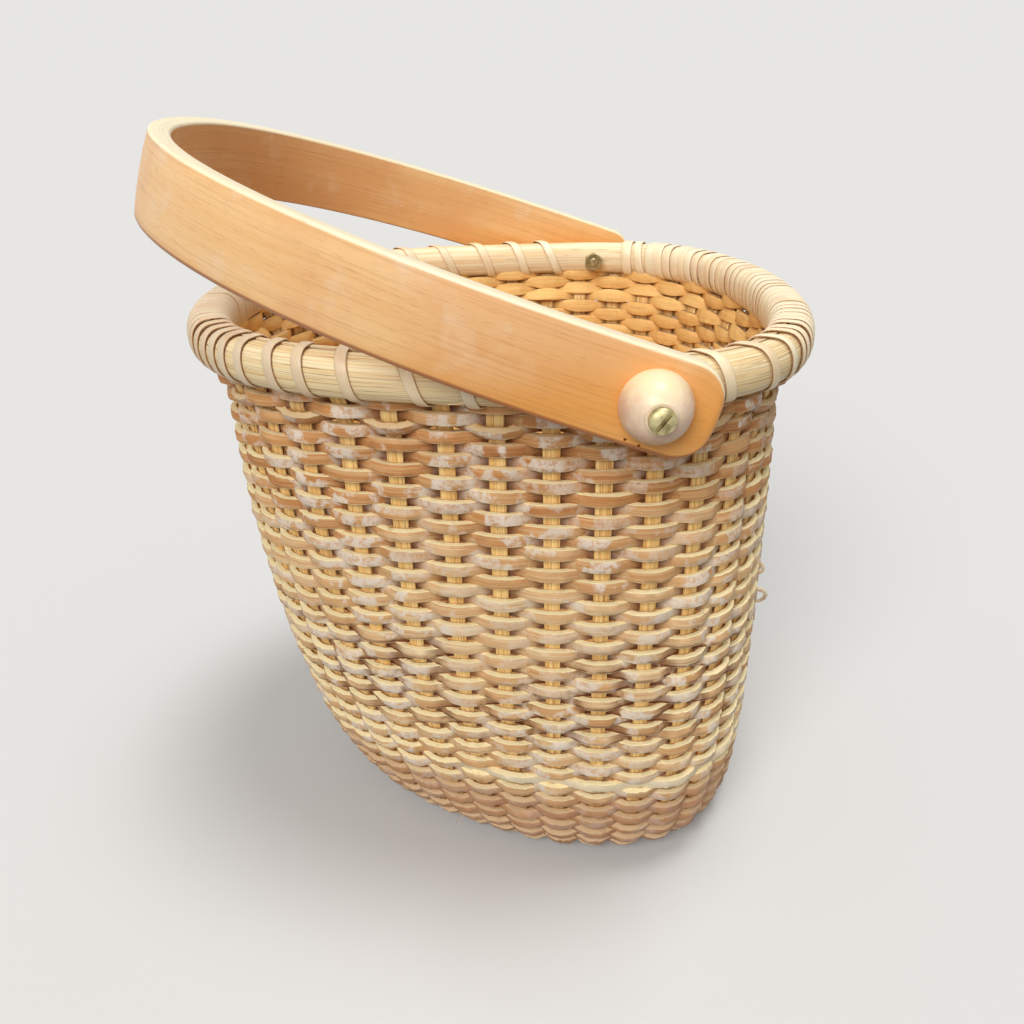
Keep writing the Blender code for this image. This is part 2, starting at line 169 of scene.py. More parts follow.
class Tree:
    """The nodes of a material or of the world, round their one shader."""

    def __init__(self, owner: ID, shader: str = "Principled BSDF") -> None:
        """Takes up the owner's nodes.

        Args:
            owner: The material or the world.
            shader: Its shader's name.
        """
        owner.use_nodes = True
        self.owner = owner
        self.nodes = owner.node_tree.nodes
        self.links = owner.node_tree.links
        self.inputs = self.nodes[shader].inputs

    def feed(self, socket: NodeSocket, value: object) -> None:
        """Links or sets a socket.

        Args:
            socket: The input.
            value: A Value to link, or a number, colour or vector to set.
        """
        if isinstance(value, Value):
            self.links.new(value.socket, socket)
        elif socket.type == "RGBA":
            socket.default_value = (*value, 1.0)
        else:
            socket.default_value = value

    def node(
        self,
        kind: str,
        inputs: dict[str | int, object] | None = None,
        output: str | int = 0,
        **settings: object,
    ) -> Value:
        """Any node.

        Args:
            kind: The node's type.
            inputs: Its sockets' values or links, by name or number.
            output: The output that is wanted.
            settings: Its properties, set first.

        Returns:
            That output.
        """
        made = self.nodes.new(kind)
        for key, value in settings.items():
            setattr(made, key, value)
        for key, value in (inputs or {}).items():
            self.feed(made.inputs[key], value)
        return Value(self, made.outputs[output])

    def lay(self) -> tuple[Value, Value]:
        """The distances across and along a strip, in metres."""
        held = self.node("ShaderNodeUVMap", uv_map="lay")
        return held.part("X"), held.part("Y")

    def place(self) -> Value:
        """The point in the part's frame."""
        return self.node("ShaderNodeTexCoord", output="Object")

    def height(self) -> Value:
        """The height over the surface that the part stands on."""
        return self.place().part("Z")

    def mark(self, name: str) -> Value:
        """A number that the piece's points carry."""
        return self.node("ShaderNodeAttribute", output="Fac", attribute_name=name)

    def seen(self) -> Value:
        """1 for what the camera and mirrors see, and 0 for light that bounces elsewhere."""
        camera = self.node("ShaderNodeLightPath", output="Is Camera Ray")
        return camera.highest(self.node("ShaderNodeLightPath", output="Is Glossy Ray"))

    def join(self, x: Term, y: Term, z: Term = 0.0) -> Value:
        """A vector of three numbers."""
        return self.node("ShaderNodeCombineXYZ", {0: x, 1: y, 2: z})

    def noise(self, vector: Value, scale: float, detail: float = 2.0, rough: float = 0.5) -> Value:
        """A soft random pattern.

        Args:
            vector: Where it is read.
            scale: Its fineness.
            detail: Its octaves.
            rough: How strong the finer octaves are.

        Returns:
            The pattern, about 0.3 to 0.7.
        """
        inputs = {"Vector": vector, "Scale": scale, "Detail": detail, "Roughness": rough}
        return self.node("ShaderNodeTexNoise", inputs)

    def grain(
        self, x: Term, y: Term, z: Term = 0.0, detail: float = 2.0, rough: float = 0.5
    ) -> Value:
        """A noise that is read at three numbers of its own scale."""
        return self.noise(self.join(x, y, z), 1.0, detail, rough)

    def coats(self, colour: Value | Colour, *coats: tuple[Term, Value | Colour]) -> Value:
        """Lays colours over one another.

        Args:
            colour: The lowest.
            coats: The next ones in order, each as its share from 0 to 1 and its colour.

        Returns:
            The mixed colour.
        """
        for share, tint in coats:
            inputs = {0: share, 6: colour, 7: tint}
            colour = self.node("ShaderNodeMix", inputs, 2, data_type="RGBA", clamp_factor=True)
        return colour

    def finish(
        self,
        colour: Value,
        rough: Term,
        relief: Value | None = None,
        depth: float = 0.0,
        strength: float = 0.0,
        **fixed: float,
    ) -> Material:
        """Closes the material.

        Args:
            colour: The base colour.
            rough: The roughness.
            relief: The bump's height from 0 to 1.
            depth: What a height of 1 stands for, in metres.
            strength: The bump's strength.
            fixed: Other sockets' fixed values, by name with _ for a space.

        Returns:
            The material.
        """
        self.feed(self.inputs["Base Color"], colour)
        self.feed(self.inputs["Roughness"], rough)
        if relief is not None:
            bump = {"Height": relief, "Distance": depth, "Strength": strength}
            self.feed(self.inputs["Normal"], self.node("ShaderNodeBump", bump))
        for name, value in fixed.items():
            self.inputs[name.replace("_", " ")].default_value = value
        return self.owner


def new_tree(name: str) -> Tree:
    """The nodes of a new material."""
    return Tree(bpy.data.materials.new(name))


@dataclass(frozen=True)
class CaneFinish:
    """Dry weaver cane: tan or cream skin, pale sawn faces, grey patches and old dirt, with painted shade in
    the crevices, under the rim and towards the base.
    """

    brown: Colour = paint(180, 118, 68)
    orange: Colour = paint(226, 154, 80)
    tan: Colour = paint(234, 188, 132)
    cream: Colour = paint(250, 222, 176)
    sawn: Colour = paint(255, 238, 188)
    honey: Colour = paint(255, 214, 138)
    amber: Colour = paint(250, 192, 112)
    grey: Colour = paint(242, 228, 210)
    # Dark brown for the old dirt, and also for painted shade in the weave's crevices.
    dirt_and_crevice_shade: Colour = paint(118, 68, 38)
    # Rosy brown for the foot of the wall: partly the cane's own colour, partly painted shade.
    rosy: Colour = paint(184, 128, 94)
    fresh: Colour = paint(252, 234, 198)
    skin_half: float = 0.00128
    back_from: float = 0.00275
    pale_below: float = 0.106
    dirty_from: float = 0.050
    dirty_to: float = 0.080
    rosy_below: float = 0.029

    def material(self) -> Material:
        """The weave's material."""
        tree = new_tree("weaver_cane_finish")
        across, along = tree.lay()
        place = tree.place()
        height = tree.height()
        tone, fresh, depth, dust = map(tree.mark, ("tone", "fresh", "depth", "dust"))
        skin = abs(across).over(self.skin_half, -0.00008)
        back = abs(across).over(self.back_from, 0.0001)
        lines = tree.grain(across * 4200, along * 90, tone * 9, 3.0, 0.65)
        strands = tree.grain(across * 1200, along * 30, tone * 5)
        crust = tree.noise(place, 620.0, 4.0, 0.75)
        patches = tree.noise(place, 120.0, 3.0, 0.6)
        clouds = tree.noise(place, 30.0, 3.0, 0.6)
        drift = clouds * 0.05 - 0.025
        pale = (height + drift).over(self.pale_below, -0.012)
        aged = tree.coats(
            self.brown, (tone, self.orange), (strands.rise(0.44, 0.62) * 0.6, self.tan)
        )
        young = tree.coats(
            self.tan, (tone * 1.3 - 0.1, self.cream), (strands.rise(0.6, 0.44) * 0.3, self.orange)
        )
        grey = (patches + dust * 0.2 - 0.1).rise(0.49, 0.56)
        grey = grey * (0.3 + crust.rise(0.40, 0.52) * 0.6)
        grey = grey * (0.45 + clouds.rise(0.44, 0.58) * 0.5)
        band = height.between(self.dirty_from, self.dirty_to, 0.006)
        smudge = patches.rise(0.60, 0.46) * (band * 0.85 + 0.1) * clouds.rise(0.34, 0.5)
        settled = across.rise(0.0002, 0.0011) * 0.7 + depth.rise(1.0, 0.2) * 0.6
        # Darker and rosier towards the base: partly the cane's own colour, partly painted shade.
        low = height.over(self.rosy_below, -0.005)
        shade = tree.coats(
            aged,
            (pale * 0.8 + tone * 0.2, young),
            (lines.rise(0.50, 0.36) * 0.5, self.brown),
            (grey, self.grey),
            (smudge * (settled + 0.12), self.dirt_and_crevice_shade),
            (low * (0.45 + tone * 0.45), self.rosy),
            # Painted shade: the outer skin darkens where the weaver dives behind a stave.
            (depth.rise(0.3, -1.0) * 0.85, self.dirt_and_crevice_shade),
        )
        sawn = tree.coats(
            self.sawn,
            (lines.rise(0.54, 0.38) * 0.25, self.tan),
            (crust.rise(0.52, 0.66) * 0.25, self.grey),
            (low * 0.6, self.rosy),
            # Painted shade: the sawn faces turn brown near the top, where the rim shades them.
            (height.rise(0.122, 0.136) * 0.45, self.brown),
            # Painted shade: the sawn faces darken where the weaver lies back.
            (depth.rise(0.3, -0.7) * 0.5, self.brown),
        )
        inner = tree.coats(
            self.honey,
            (tone * 0.5 + strands.rise(0.4, 0.6) * 0.4, self.amber),
            (lines.rise(0.50, 0.36) * 0.25, self.brown),
            # Painted shade: the inner face darkens where the weaver lies against a stave.
            (depth.rise(0.2, 1.0) * 0.6, self.dirt_and_crevice_shade),
        )
        colour = tree.coats(sawn, (skin, shade), (back, inner), (fresh * skin * 0.85, self.fresh))
        relief = lines * 0.5 + crust * 0.8 + strands * 0.4
        rough = 0.5 + patches * 0.3
        return tree.finish(colour, rough, relief, 0.00025, 0.8, Specular_IOR_Level=0.35)


@dataclass(frozen=True)
class ReedFinish:
    """Split reed with fine dark lines along it, for the staves and the rim hoops."""

    name: str
    base: Colour
    light: Colour
    line: Colour
    lines_per_metre: float = 1500.0
    line_strength: float = 0.5
    stain: Colour = paint(176, 122, 74)
    stain_share: float = 0.3
    rough: float = 0.42

    def material(self) -> Material:
        """The reed's material."""
        tree = new_tree(self.name)
        across, along = tree.lay()
        tone = tree.mark("tone")
        lined = across * self.lines_per_metre
        fine = tree.grain(lined, along * 26, tone * 31, 3.0, 0.6)
        broad = tree.grain(lined * 0.3, along * 12, tone * 17)
        crack = tree.grain(lined * 0.8, along * 60, tone * 3, 1.0).rise(0.32, 0.27)
        stains = tree.noise(tree.place(), 42.0, 4.0, 0.65)
        colour = tree.coats(
            self.base,
            (broad.rise(0.38, 0.62), self.light),
            (tone * 0.25, self.light),
            (fine.rise(0.5, 0.36) * self.line_strength, self.line),
            (crack * 0.7, self.line),
            (stains.rise(0.56, 0.72) * self.stain_share, self.stain),
        )
        relief = fine * 0.7 + broad * 0.3 - crack * 0.8
        rough = self.rough + fine * 0.18
        return tree.finish(colour, rough, relief, 0.00014, 0.6, Specular_IOR_Level=0.4)


@dataclass(frozen=True)
class LashingFinish:
    """Flat cane with its pale glossy skin outwards and darker edges, painted as shade in the gaps between
    the turns.
    """

    skin: Colour = paint(254, 229, 186)
    light: Colour = paint(255, 244, 210)
    stain: Colour = paint(226, 184, 136)
    # Painted shade colour for the strip's edges, standing in for the shadow lines between turns.
    edge: Colour = paint(176, 122, 74)
    handled: Colour = paint(204, 170, 136)
    half_width: float = 0.0014

    def material(self) -> Material:
        """The lashing's material."""
        tree = new_tree("lashing_cane_finish")
        across, along = tree.lay()
        tone = tree.mark("tone")
        place = tree.place()
        fine = tree.grain(across * 3200, along * 50, tone * 13, 2.0, 0.6)
        worn = tree.noise(place, 75.0, 3.0, 0.6)
        # Painted shade: the strip darkens towards its edges to draw shadow lines between the turns.
        rim = (abs(across) / self.half_width).rise(0.88, 1.0)
        colour = tree.coats(
            self.skin,
            (tone * 0.7 + fine * 0.3, self.light),
            (worn.rise(0.52, 0.68) * 0.45, self.stain),
            (fine.rise(0.46, 0.34) * 0.2, self.stain),
            (place.part("X").rise(0.0, -0.075) * (worn * 0.4 + 0.3), self.handled),
            (rim * 0.7, self.edge),
        )
        relief = fine + worn * 0.5
        return tree.finish(colour, 0.36 + fine * 0.2, relief, 0.00008, 0.5, Coat_Weight=0.08)


@dataclass(frozen=True)
class HandleFinish:
    """Satin honey-coloured wood, its grain running along the bend, with a painted highlight on its top edge
    and a stain with painted shade on its lower edge.
    """

    base: Colour = paint(244, 182, 104)
    light: Colour = paint(255, 208, 140)
    line: Colour = paint(190, 122, 64)
    warm: Colour = paint(234, 156, 80)
    worn: Colour = paint(250, 214, 172)
    # Painted highlight colour for the top edge.
    top: Colour = paint(255, 244, 206)
    # Dark reddish brown for the lower edge, partly a stain and partly painted shade.
    under: Colour = paint(150, 82, 46)
    amber: Colour = paint(238, 158, 62)
    top_highlight_band: tuple[float, float] = (0.0100, 0.0160)
    under_stain_and_shade_band: tuple[float, float] = (0.0356, 0.0416)
    edge_soft: float = 0.0003
    amber_from: float = 0.166
    amber_to: float = 0.148

    def material(self) -> Material:
        """The handle's material."""
        tree = new_tree("handle_wood_finish")
        across, along = tree.lay()
        place = tree.place()
        height = tree.height()
        drift = tree.grain(along * 14, across * 30)
        grain = tree.grain((across + drift * 0.003) * 1500, along * 16, 0.0, 4.0, 0.62)
        pores = tree.grain(across * 5200, along * 210, 0.0, 2.0, 0.6)
        broad = tree.grain((across + drift * 0.006) * 150, along * 5)
        clouds = tree.noise(place, 26.0, 3.0, 0.55)
        spots = tree.noise(place, 62.0, 3.0, 0.6)
        high = height.rise(self.amber_to, self.amber_from)
        colour = tree.coats(
            self.base,
            (broad.rise(0.36, 0.64) * 0.7, self.light),
            (clouds.rise(0.42, 0.64) * 0.6, self.warm),
            (height.rise(self.amber_from, self.amber_to) * 0.65, self.amber),
            (high * (spots.rise(0.54, 0.7) * 0.45 + 0.3), self.worn),
            # Painted highlight: the top edge is paler, as if lit from above.
            (across.between(*self.top_highlight_band, self.edge_soft) * 0.9, self.top),
            # The lower edge darkens: partly a stain, partly painted shade.
            (across.between(*self.under_stain_and_shade_band, self.edge_soft) * 0.8, self.under),
            (grain.rise(0.50, 0.36) * 0.22, self.line),
            (pores.rise(0.42, 0.32) * 0.35, self.line),
        )
        rough = 0.34 + grain * 0.14
        relief = grain * 0.4 + pores * 0.6
        coat = {"Coat_Weight": 0.05, "Coat_Roughness": 0.35}
        return tree.finish(colour, rough, relief, 0.00005, 0.4, **coat)


@dataclass(frozen=True)
class BoardFinish:
    """A turned board: straight grain and faint rings left by the tool."""

    base: Colour = paint(198, 150, 100)
    light: Colour = paint(222, 180, 130)
    line: Colour = paint(140, 92, 54)

    def material(self) -> Material:
        """The base board's material."""
        tree = new_tree("base_wood_finish")
        place = tree.place()
        x, y = place.part("X"), place.part("Y")
        drift = tree.noise(place, 18.0)
        grain = tree.grain(x * 9, (y + drift * 0.006) * 420, tree.height() * 300, 4.0, 0.6)
        reach = tree.node("ShaderNodeVectorMath", {0: tree.join(x, y)}, "Value", operation="LENGTH")
        rings = (reach * 5200).wave()
        colour = tree.coats(
            self.base,
            (grain.rise(0.36, 0.64), self.light),
            (grain.rise(0.46, 0.36) * 0.5, self.line),
        )
        return tree.finish(colour, 0.42 + grain * 0.15, grain + rings * 0.12, 0.00008, 0.4)


@dataclass(frozen=True)
class IvoryFinish:
    """Polished pearly ivory colour with faint clouds and growth lines, a painted highlight on top and
    painted shade underneath.
    """

    base: Colour = paint(230, 190, 158)
    light: Colour = paint(248, 222, 190)
    vein: Colour = paint(190, 146, 116)
    # Painted highlight colour for the top of the dome; the heights give where it fades in, and where
    # painted shade in the vein colour starts under the dome.
    cap_highlight: Colour = paint(255, 234, 180)
    cap_highlight_from: float = 0.1512
    cap_highlight_to: float = 0.1562
    under_shade_from: float = 0.1480
    under_shade_to: float = 0.1425

    def material(self) -> Material:
        """The knobs' material."""
        tree = new_tree("knob_ivory_finish")
        place = tree.place()
        height = tree.height()
        clouds = tree.noise(place, 120.0, 3.0, 0.6)
        veins = tree.grain(place.part("X") * 900, height * 160, clouds * 2, 3.0, 0.6)
        colour = tree.coats(
            self.base,
            (clouds.rise(0.36, 0.64), self.light),
            (veins.rise(0.46, 0.34) * 0.12, self.vein),
            # Painted highlight on the top of the dome and painted shade under it.
            (height.rise(self.cap_highlight_from, self.cap_highlight_to) * 0.6, self.cap_highlight),
            (height.rise(self.under_shade_from, self.under_shade_to) * 0.4, self.vein),
        )
        coat = {"Coat_Weight": 0.15, "Coat_Roughness": 0.2}
        glow = {"Subsurface_Weight": 0.12, "Subsurface_Scale": 0.003}
        return tree.finish(colour, 0.3 + clouds * 0.14, veins, 0.00002, 0.25, **coat, **glow)


@dataclass(frozen=True)
class BrassFinish:
    """Dull aged brass with darker tarnish in spots."""

    base: Colour = paint(206, 194, 146)
    dull: Colour = paint(150, 138, 98)

    def material(self) -> Material:
        """The screws' and nuts' material."""
        tree = new_tree("screw_brass_finish")
        place = tree.place()
        spots = tree.noise(place, 420.0, 4.0, 0.6)
        scratches = tree.noise(place, 2600.0, 2.0, 0.6)
        colour = tree.coats(self.base, (spots.rise(0.4, 0.64), self.dull))
        relief = spots + scratches * 0.4
        return tree.finish(colour, 0.3 + spots * 0.3, relief, 0.00003, 0.4, Metallic=1.0)


# Paths and sections


def unit(vectors: Array) -> Array:
    """Vectors of length 1."""
    return vectors / np.linalg.norm(vectors, axis=-1, keepdims=True)


def headings(path: Array) -> Array:
    """A path's direction at each of its points."""
    return unit(np.gradient(path, axis=0))


def square(vectors: Array, tangents: Array) -> Array:
    """Vectors of length 1, made square to the tangents."""
    return unit(vectors - tangents * np.sum(vectors * tangents, axis=1, keepdims=True))


def tip(first: Array, second: Array, angle: Array) -> tuple[Array, Array]:
    """Two square directions turned by an angle in their own plane."""
    cosine, sine = np.cos(angle), np.sin(angle)
    return first * cosine + second * sine, second * cosine - first * sine


def run_lengths(points: Array) -> Array:
    """The distance along a path at each of its points."""
    steps = np.linalg.norm(np.diff(points, axis=0), axis=1)
    return np.concatenate([[0.0], np.cumsum(steps)])


def round_lengths(section: Array) -> Array:
    """The distance round a closed section at each corner, and at the first one again."""
    return run_lengths(np.vstack([section, section[:1]]))


def resample(places: Array, knots: Array, table: Array) -> Array:
    """A table's columns at places between the knots of its rows."""
    return np.column_stack([np.interp(places, knots, column) for column in table.T])


def soften(table: Array, count: int) -> Array:
    """The running mean of each column over this many rows."""
    kernel = np.ones(count) / count
    return np.column_stack([np.convolve(column, kernel, "valid") for column in table.T])


def strip_section(width: float, thickness: float, shape: Shape) -> tuple[Array, Array]:
    """A strip's section from half of its outline.

    Args:
        width: The whole width.
        thickness: The whole thickness.
        shape: Points from the middle of the back to the middle of the face, as shares
            of the width and the thickness.

    Returns:
        The corners, and the distance round the section from the middle of the face.
    """
    half = [(x * width, y * thickness) for x, y in shape]
    corners = np.array(half + [(-x, y) for x, y in half[-2:0:-1]])
    around = round_lengths(corners)
    return corners, around - around[len(half) - 1]


def strip_rings(
    path: Array, across: Array, face: Array, corners: Array, widths: Array, rough: Array | float = 0.0
) -> Array:
    """A strip's section at each point of a path.

    Args:
        path: The points.
        across: The directions across the strip.
        face: The directions out of its face.
        corners: The section, as (share of the width, thickness).
        widths: The widths.
        rough: How far each corner stands out of its place.

    Returns:
        The rings of corners.
    """
    wide = across[:, None] * (corners[None, :, :1] * widths[:, None, None])
    return path[:, None] + wide + face[:, None] * (corners[None, :, 1:] + rough)


# Meshes


def settle(bm: bmesh.types.BMesh, mesh: Mesh | None = None) -> Mesh:
    """Writes a bmesh out and frees it.

    Args:
        bm: The bmesh.
        mesh: Where it goes, or None for a new mesh.

    Returns:
        That mesh.
    """
    mesh = mesh or bpy.data.meshes.new("shape")
    bm.to_mesh(mesh)
    bm.free()
    return mesh


def smooth(mesh: Mesh, crease: float = CREASE) -> Mesh:
    """Shades a mesh smooth but for edges bent more than the crease, and returns it."""
    mesh.shade_smooth()
    mesh.set_sharp_from_angle(angle=crease)
    return mesh


def link(name: str, data: ID) -> Object:
    """A new object in the scene, of this name and with this data."""
    made = bpy.data.objects.new(name, data)
    bpy.context.collection.objects.link(made)
    return made


def close_up(mesh: Mesh, crease: float) -> Mesh:
    """Joins a grid's meeting edges, caps what stays open and turns faces outwards.

    Args:
        mesh: The shaped grid.
        crease: Edges bent more than this angle stay sharp.

    Returns:
        The same mesh, closed.
    """
    bm = bmesh.new()
    bm.from_mesh(mesh)
    border = [vert for vert in bm.verts if vert.is_boundary]
    bmesh.ops.remove_doubles(bm, verts=border, dist=WELD)
    bmesh.ops.holes_fill(bm, edges=[edge for edge in bm.edges if edge.is_boundary], sides=0)
    bmesh.ops.recalc_face_normals(bm, faces=bm.faces)
    return smooth(settle(bm, mesh), crease)


@dataclass
class Sweep:
    """A closed section carried along a path, shaped from one grid."""

    rings: Array
    around: Array
    lengths: Array
    marks: dict[str, Array | float] = field(default_factory=dict)
    crease: float = math.radians(38)

    def mesh(self) -> Mesh:
        """The swept solid, with its lay as a UV map and its marks as attributes."""
        rows, corners = self.rings.shape[:2]
        points = np.concatenate([self.rings, self.rings[:, :1]], axis=1)
        bm = bmesh.new()
        bm.loops.layers.uv.new("lay")
        bmesh.ops.create_grid(bm, x_segments=corners, y_segments=rows - 1, size=1, calc_uvs=True)
        mesh = settle(bm)
        mesh.vertices.foreach_set("co", points.astype(np.float32).ravel())
        layer = mesh.uv_layers["lay"].uv
        laid = np.empty(2 * len(mesh.loops), dtype=np.float32)
        layer.foreach_get("vector", laid)
        laid = laid.reshape(-1, 2)
        across = np.interp(laid[:, 0] * corners, np.arange(corners + 1), self.around)
        along = np.interp(laid[:, 1] * (rows - 1), np.arange(rows), self.lengths)
        both = np.stack([across, along], axis=1).astype(np.float32)
        layer.foreach_set("vector", both.ravel())
        for name, values in self.marks.items():
            held = mesh.attributes.new(name, "FLOAT", "POINT")
            spread = np.repeat(np.broadcast_to(values, rows), corners + 1)
            held.data.foreach_set("value", spread.astype(np.float32))
        return close_up(mesh, self.crease)


def add_piece(
    name: str,
    mesh: Mesh,
    material: Material,
    nodes: list[str],
    body: Body = Body.BASKET,
) -> None:
    """Puts a finished mesh in the scene.

    Args:
        name: The piece's name.
        mesh: Its mesh, in the part's frame.
        material: Its finish.
        nodes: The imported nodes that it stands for.
        body: The body that it rides on.
    """
    mesh.name = name
    mesh.materials.clear()
    mesh.materials.append(material)
    made = link(name, mesh)
    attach(made, body.value)
    if nodes:
        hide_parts(*nodes)
    log.info("%s: %d faces", name, len(mesh.polygons))


def carve(mesh: Mesh, cutters: list[Mesh], how: str = "DIFFERENCE") -> Mesh:
    """Cuts a mesh with others by exact Booleans.

    Args:
        mesh: What is cut.
        cutters: Closed meshes in the same frame.
        how: The Boolean's operation.

    Returns:
        The cut mesh.
    """
    target = link("target", mesh)
    tools = [link("tool", cutter) for cutter in cutters]
    for tool in tools:
        modifier = target.modifiers.new("cut", "BOOLEAN")
        modifier.operation = how
        modifier.solver = "EXACT"
        modifier.object = tool
    graph = bpy.context.evaluated_depsgraph_get()
    result = bpy.data.meshes.new_from_object(target.evaluated_get(graph))
    for old in [target, *tools]:
        bpy.data.objects.remove(old)
    return smooth(result)


def rod(radius: float, low: float, high: float, place: Matrix, sides: int = 32) -> Mesh:
    """A plain round cutter.

    Args:
        radius: Its radius.
        low: Where it starts along its axis.
        high: Where it ends.
        place: The matrix whose +Z is its axis.
        sides: Its faces round.

    Returns:
        The cutter's mesh.
    """
    bm = bmesh.new()
    bmesh.ops.create_cone(
        bm,
        cap_ends=True,
        segments=sides,
        radius1=radius,
        radius2=radius,
        depth=high - low,
        matrix=place @ Matrix.Translation((0, 0, (low + high) / 2)),
    )
    return settle(bm)


def turned(profile: list[tuple[float, float]], place: Matrix, steps: int) -> Mesh:
    """Turns a profile about an axis.

    Args:
        profile: A closed loop of (radius, height) points.
        place: The matrix whose +Z is the axis.
        steps: Faces round.

    Returns:
        The closed mesh.
    """
    bm = bmesh.new()
    loop = [bm.verts.new((radius, 0, height)) for radius, height in profile]
    for here, there in zip(loop, loop[1:] + loop[:1]):
        bm.edges.new((here, there))
    bmesh.ops.spin(
        bm,
        geom=bm.verts[:] + bm.edges[:],
        axis=(0, 0, 1),
        cent=(0, 0, 0),
        angle=2 * math.pi,
        steps=steps,
        use_merge=True,
    )
    bmesh.ops.remove_doubles(bm, verts=bm.verts, dist=WELD)
    bmesh.ops.dissolve_degenerate(bm, edges=bm.edges, dist=1e-7)
    bmesh.ops.recalc_face_normals(bm, faces=bm.faces)
    bmesh.ops.transform(bm, matrix=place, verts=bm.verts)
    return smooth(settle(bm))


# The basket's form


@dataclass
class Outline:
    """An egg-shaped curve in plan, read by the share of its length from the blunt end."""

    half_length: float
    half_width: float
    taper: float
    fullness: float = 0.0
    shift: float = 0.0
    samples: int = 2880

    @cached_property
    def table(self) -> tuple[Array, Array, Array, Array]:
        """Angles, x, y and lengths of the curve's samples."""
        angles = np.linspace(0, 2 * math.pi, self.samples + 1)
        cosine = np.cos(angles)
        swell = 1 + self.taper * cosine + self.fullness * cosine**2
        x = self.shift + self.half_length * cosine
        y = self.half_width * np.sin(angles) * swell
        lengths = np.concatenate([[0], np.cumsum(np.hypot(np.diff(x), np.diff(y)))])
        return angles, x, y, lengths

    @property
    def length(self) -> float:
        """The curve's whole length."""
        return float(self.table[3][-1])

    def angle(self, shares: Array | float) -> Array:
        """The curve's angle at shares of its length."""
        angles, _, _, lengths = self.table
        return np.interp(np.mod(shares, 1.0) * lengths[-1], lengths, angles)

    def point(self, shares: Array | float) -> Array:
        """The points in plan at shares of its length."""
        turn = self.angle(shares)
        return np.stack([np.interp(turn, self.table[0], axis) for axis in self.table[1:3]], -1)

    def outward(self, shares: Array | float) -> Array:
        """The outward directions in plan at shares of its length."""
        step = 1.5 / self.samples
        along = unit(self.point(shares + step) - self.point(shares - step))
        return np.stack([along[..., 1], -along[..., 0]], -1)

    def share_at_x(self, x: float, side: Side) -> float:
        """The share of the length where the curve crosses x.

        Args:
            x: The place along the part's X axis.
            side: Which of the two crossings.

        Returns:
            The share.
        """
        _, xs, _, lengths = self.table
        half = self.samples // 2
        if side is Side.FAR:
            length = np.interp(-x, -xs[: half + 1], lengths[: half + 1])
        else:
            length = np.interp(x, xs[half:], lengths[half:])
        return float(length / lengths[-1])


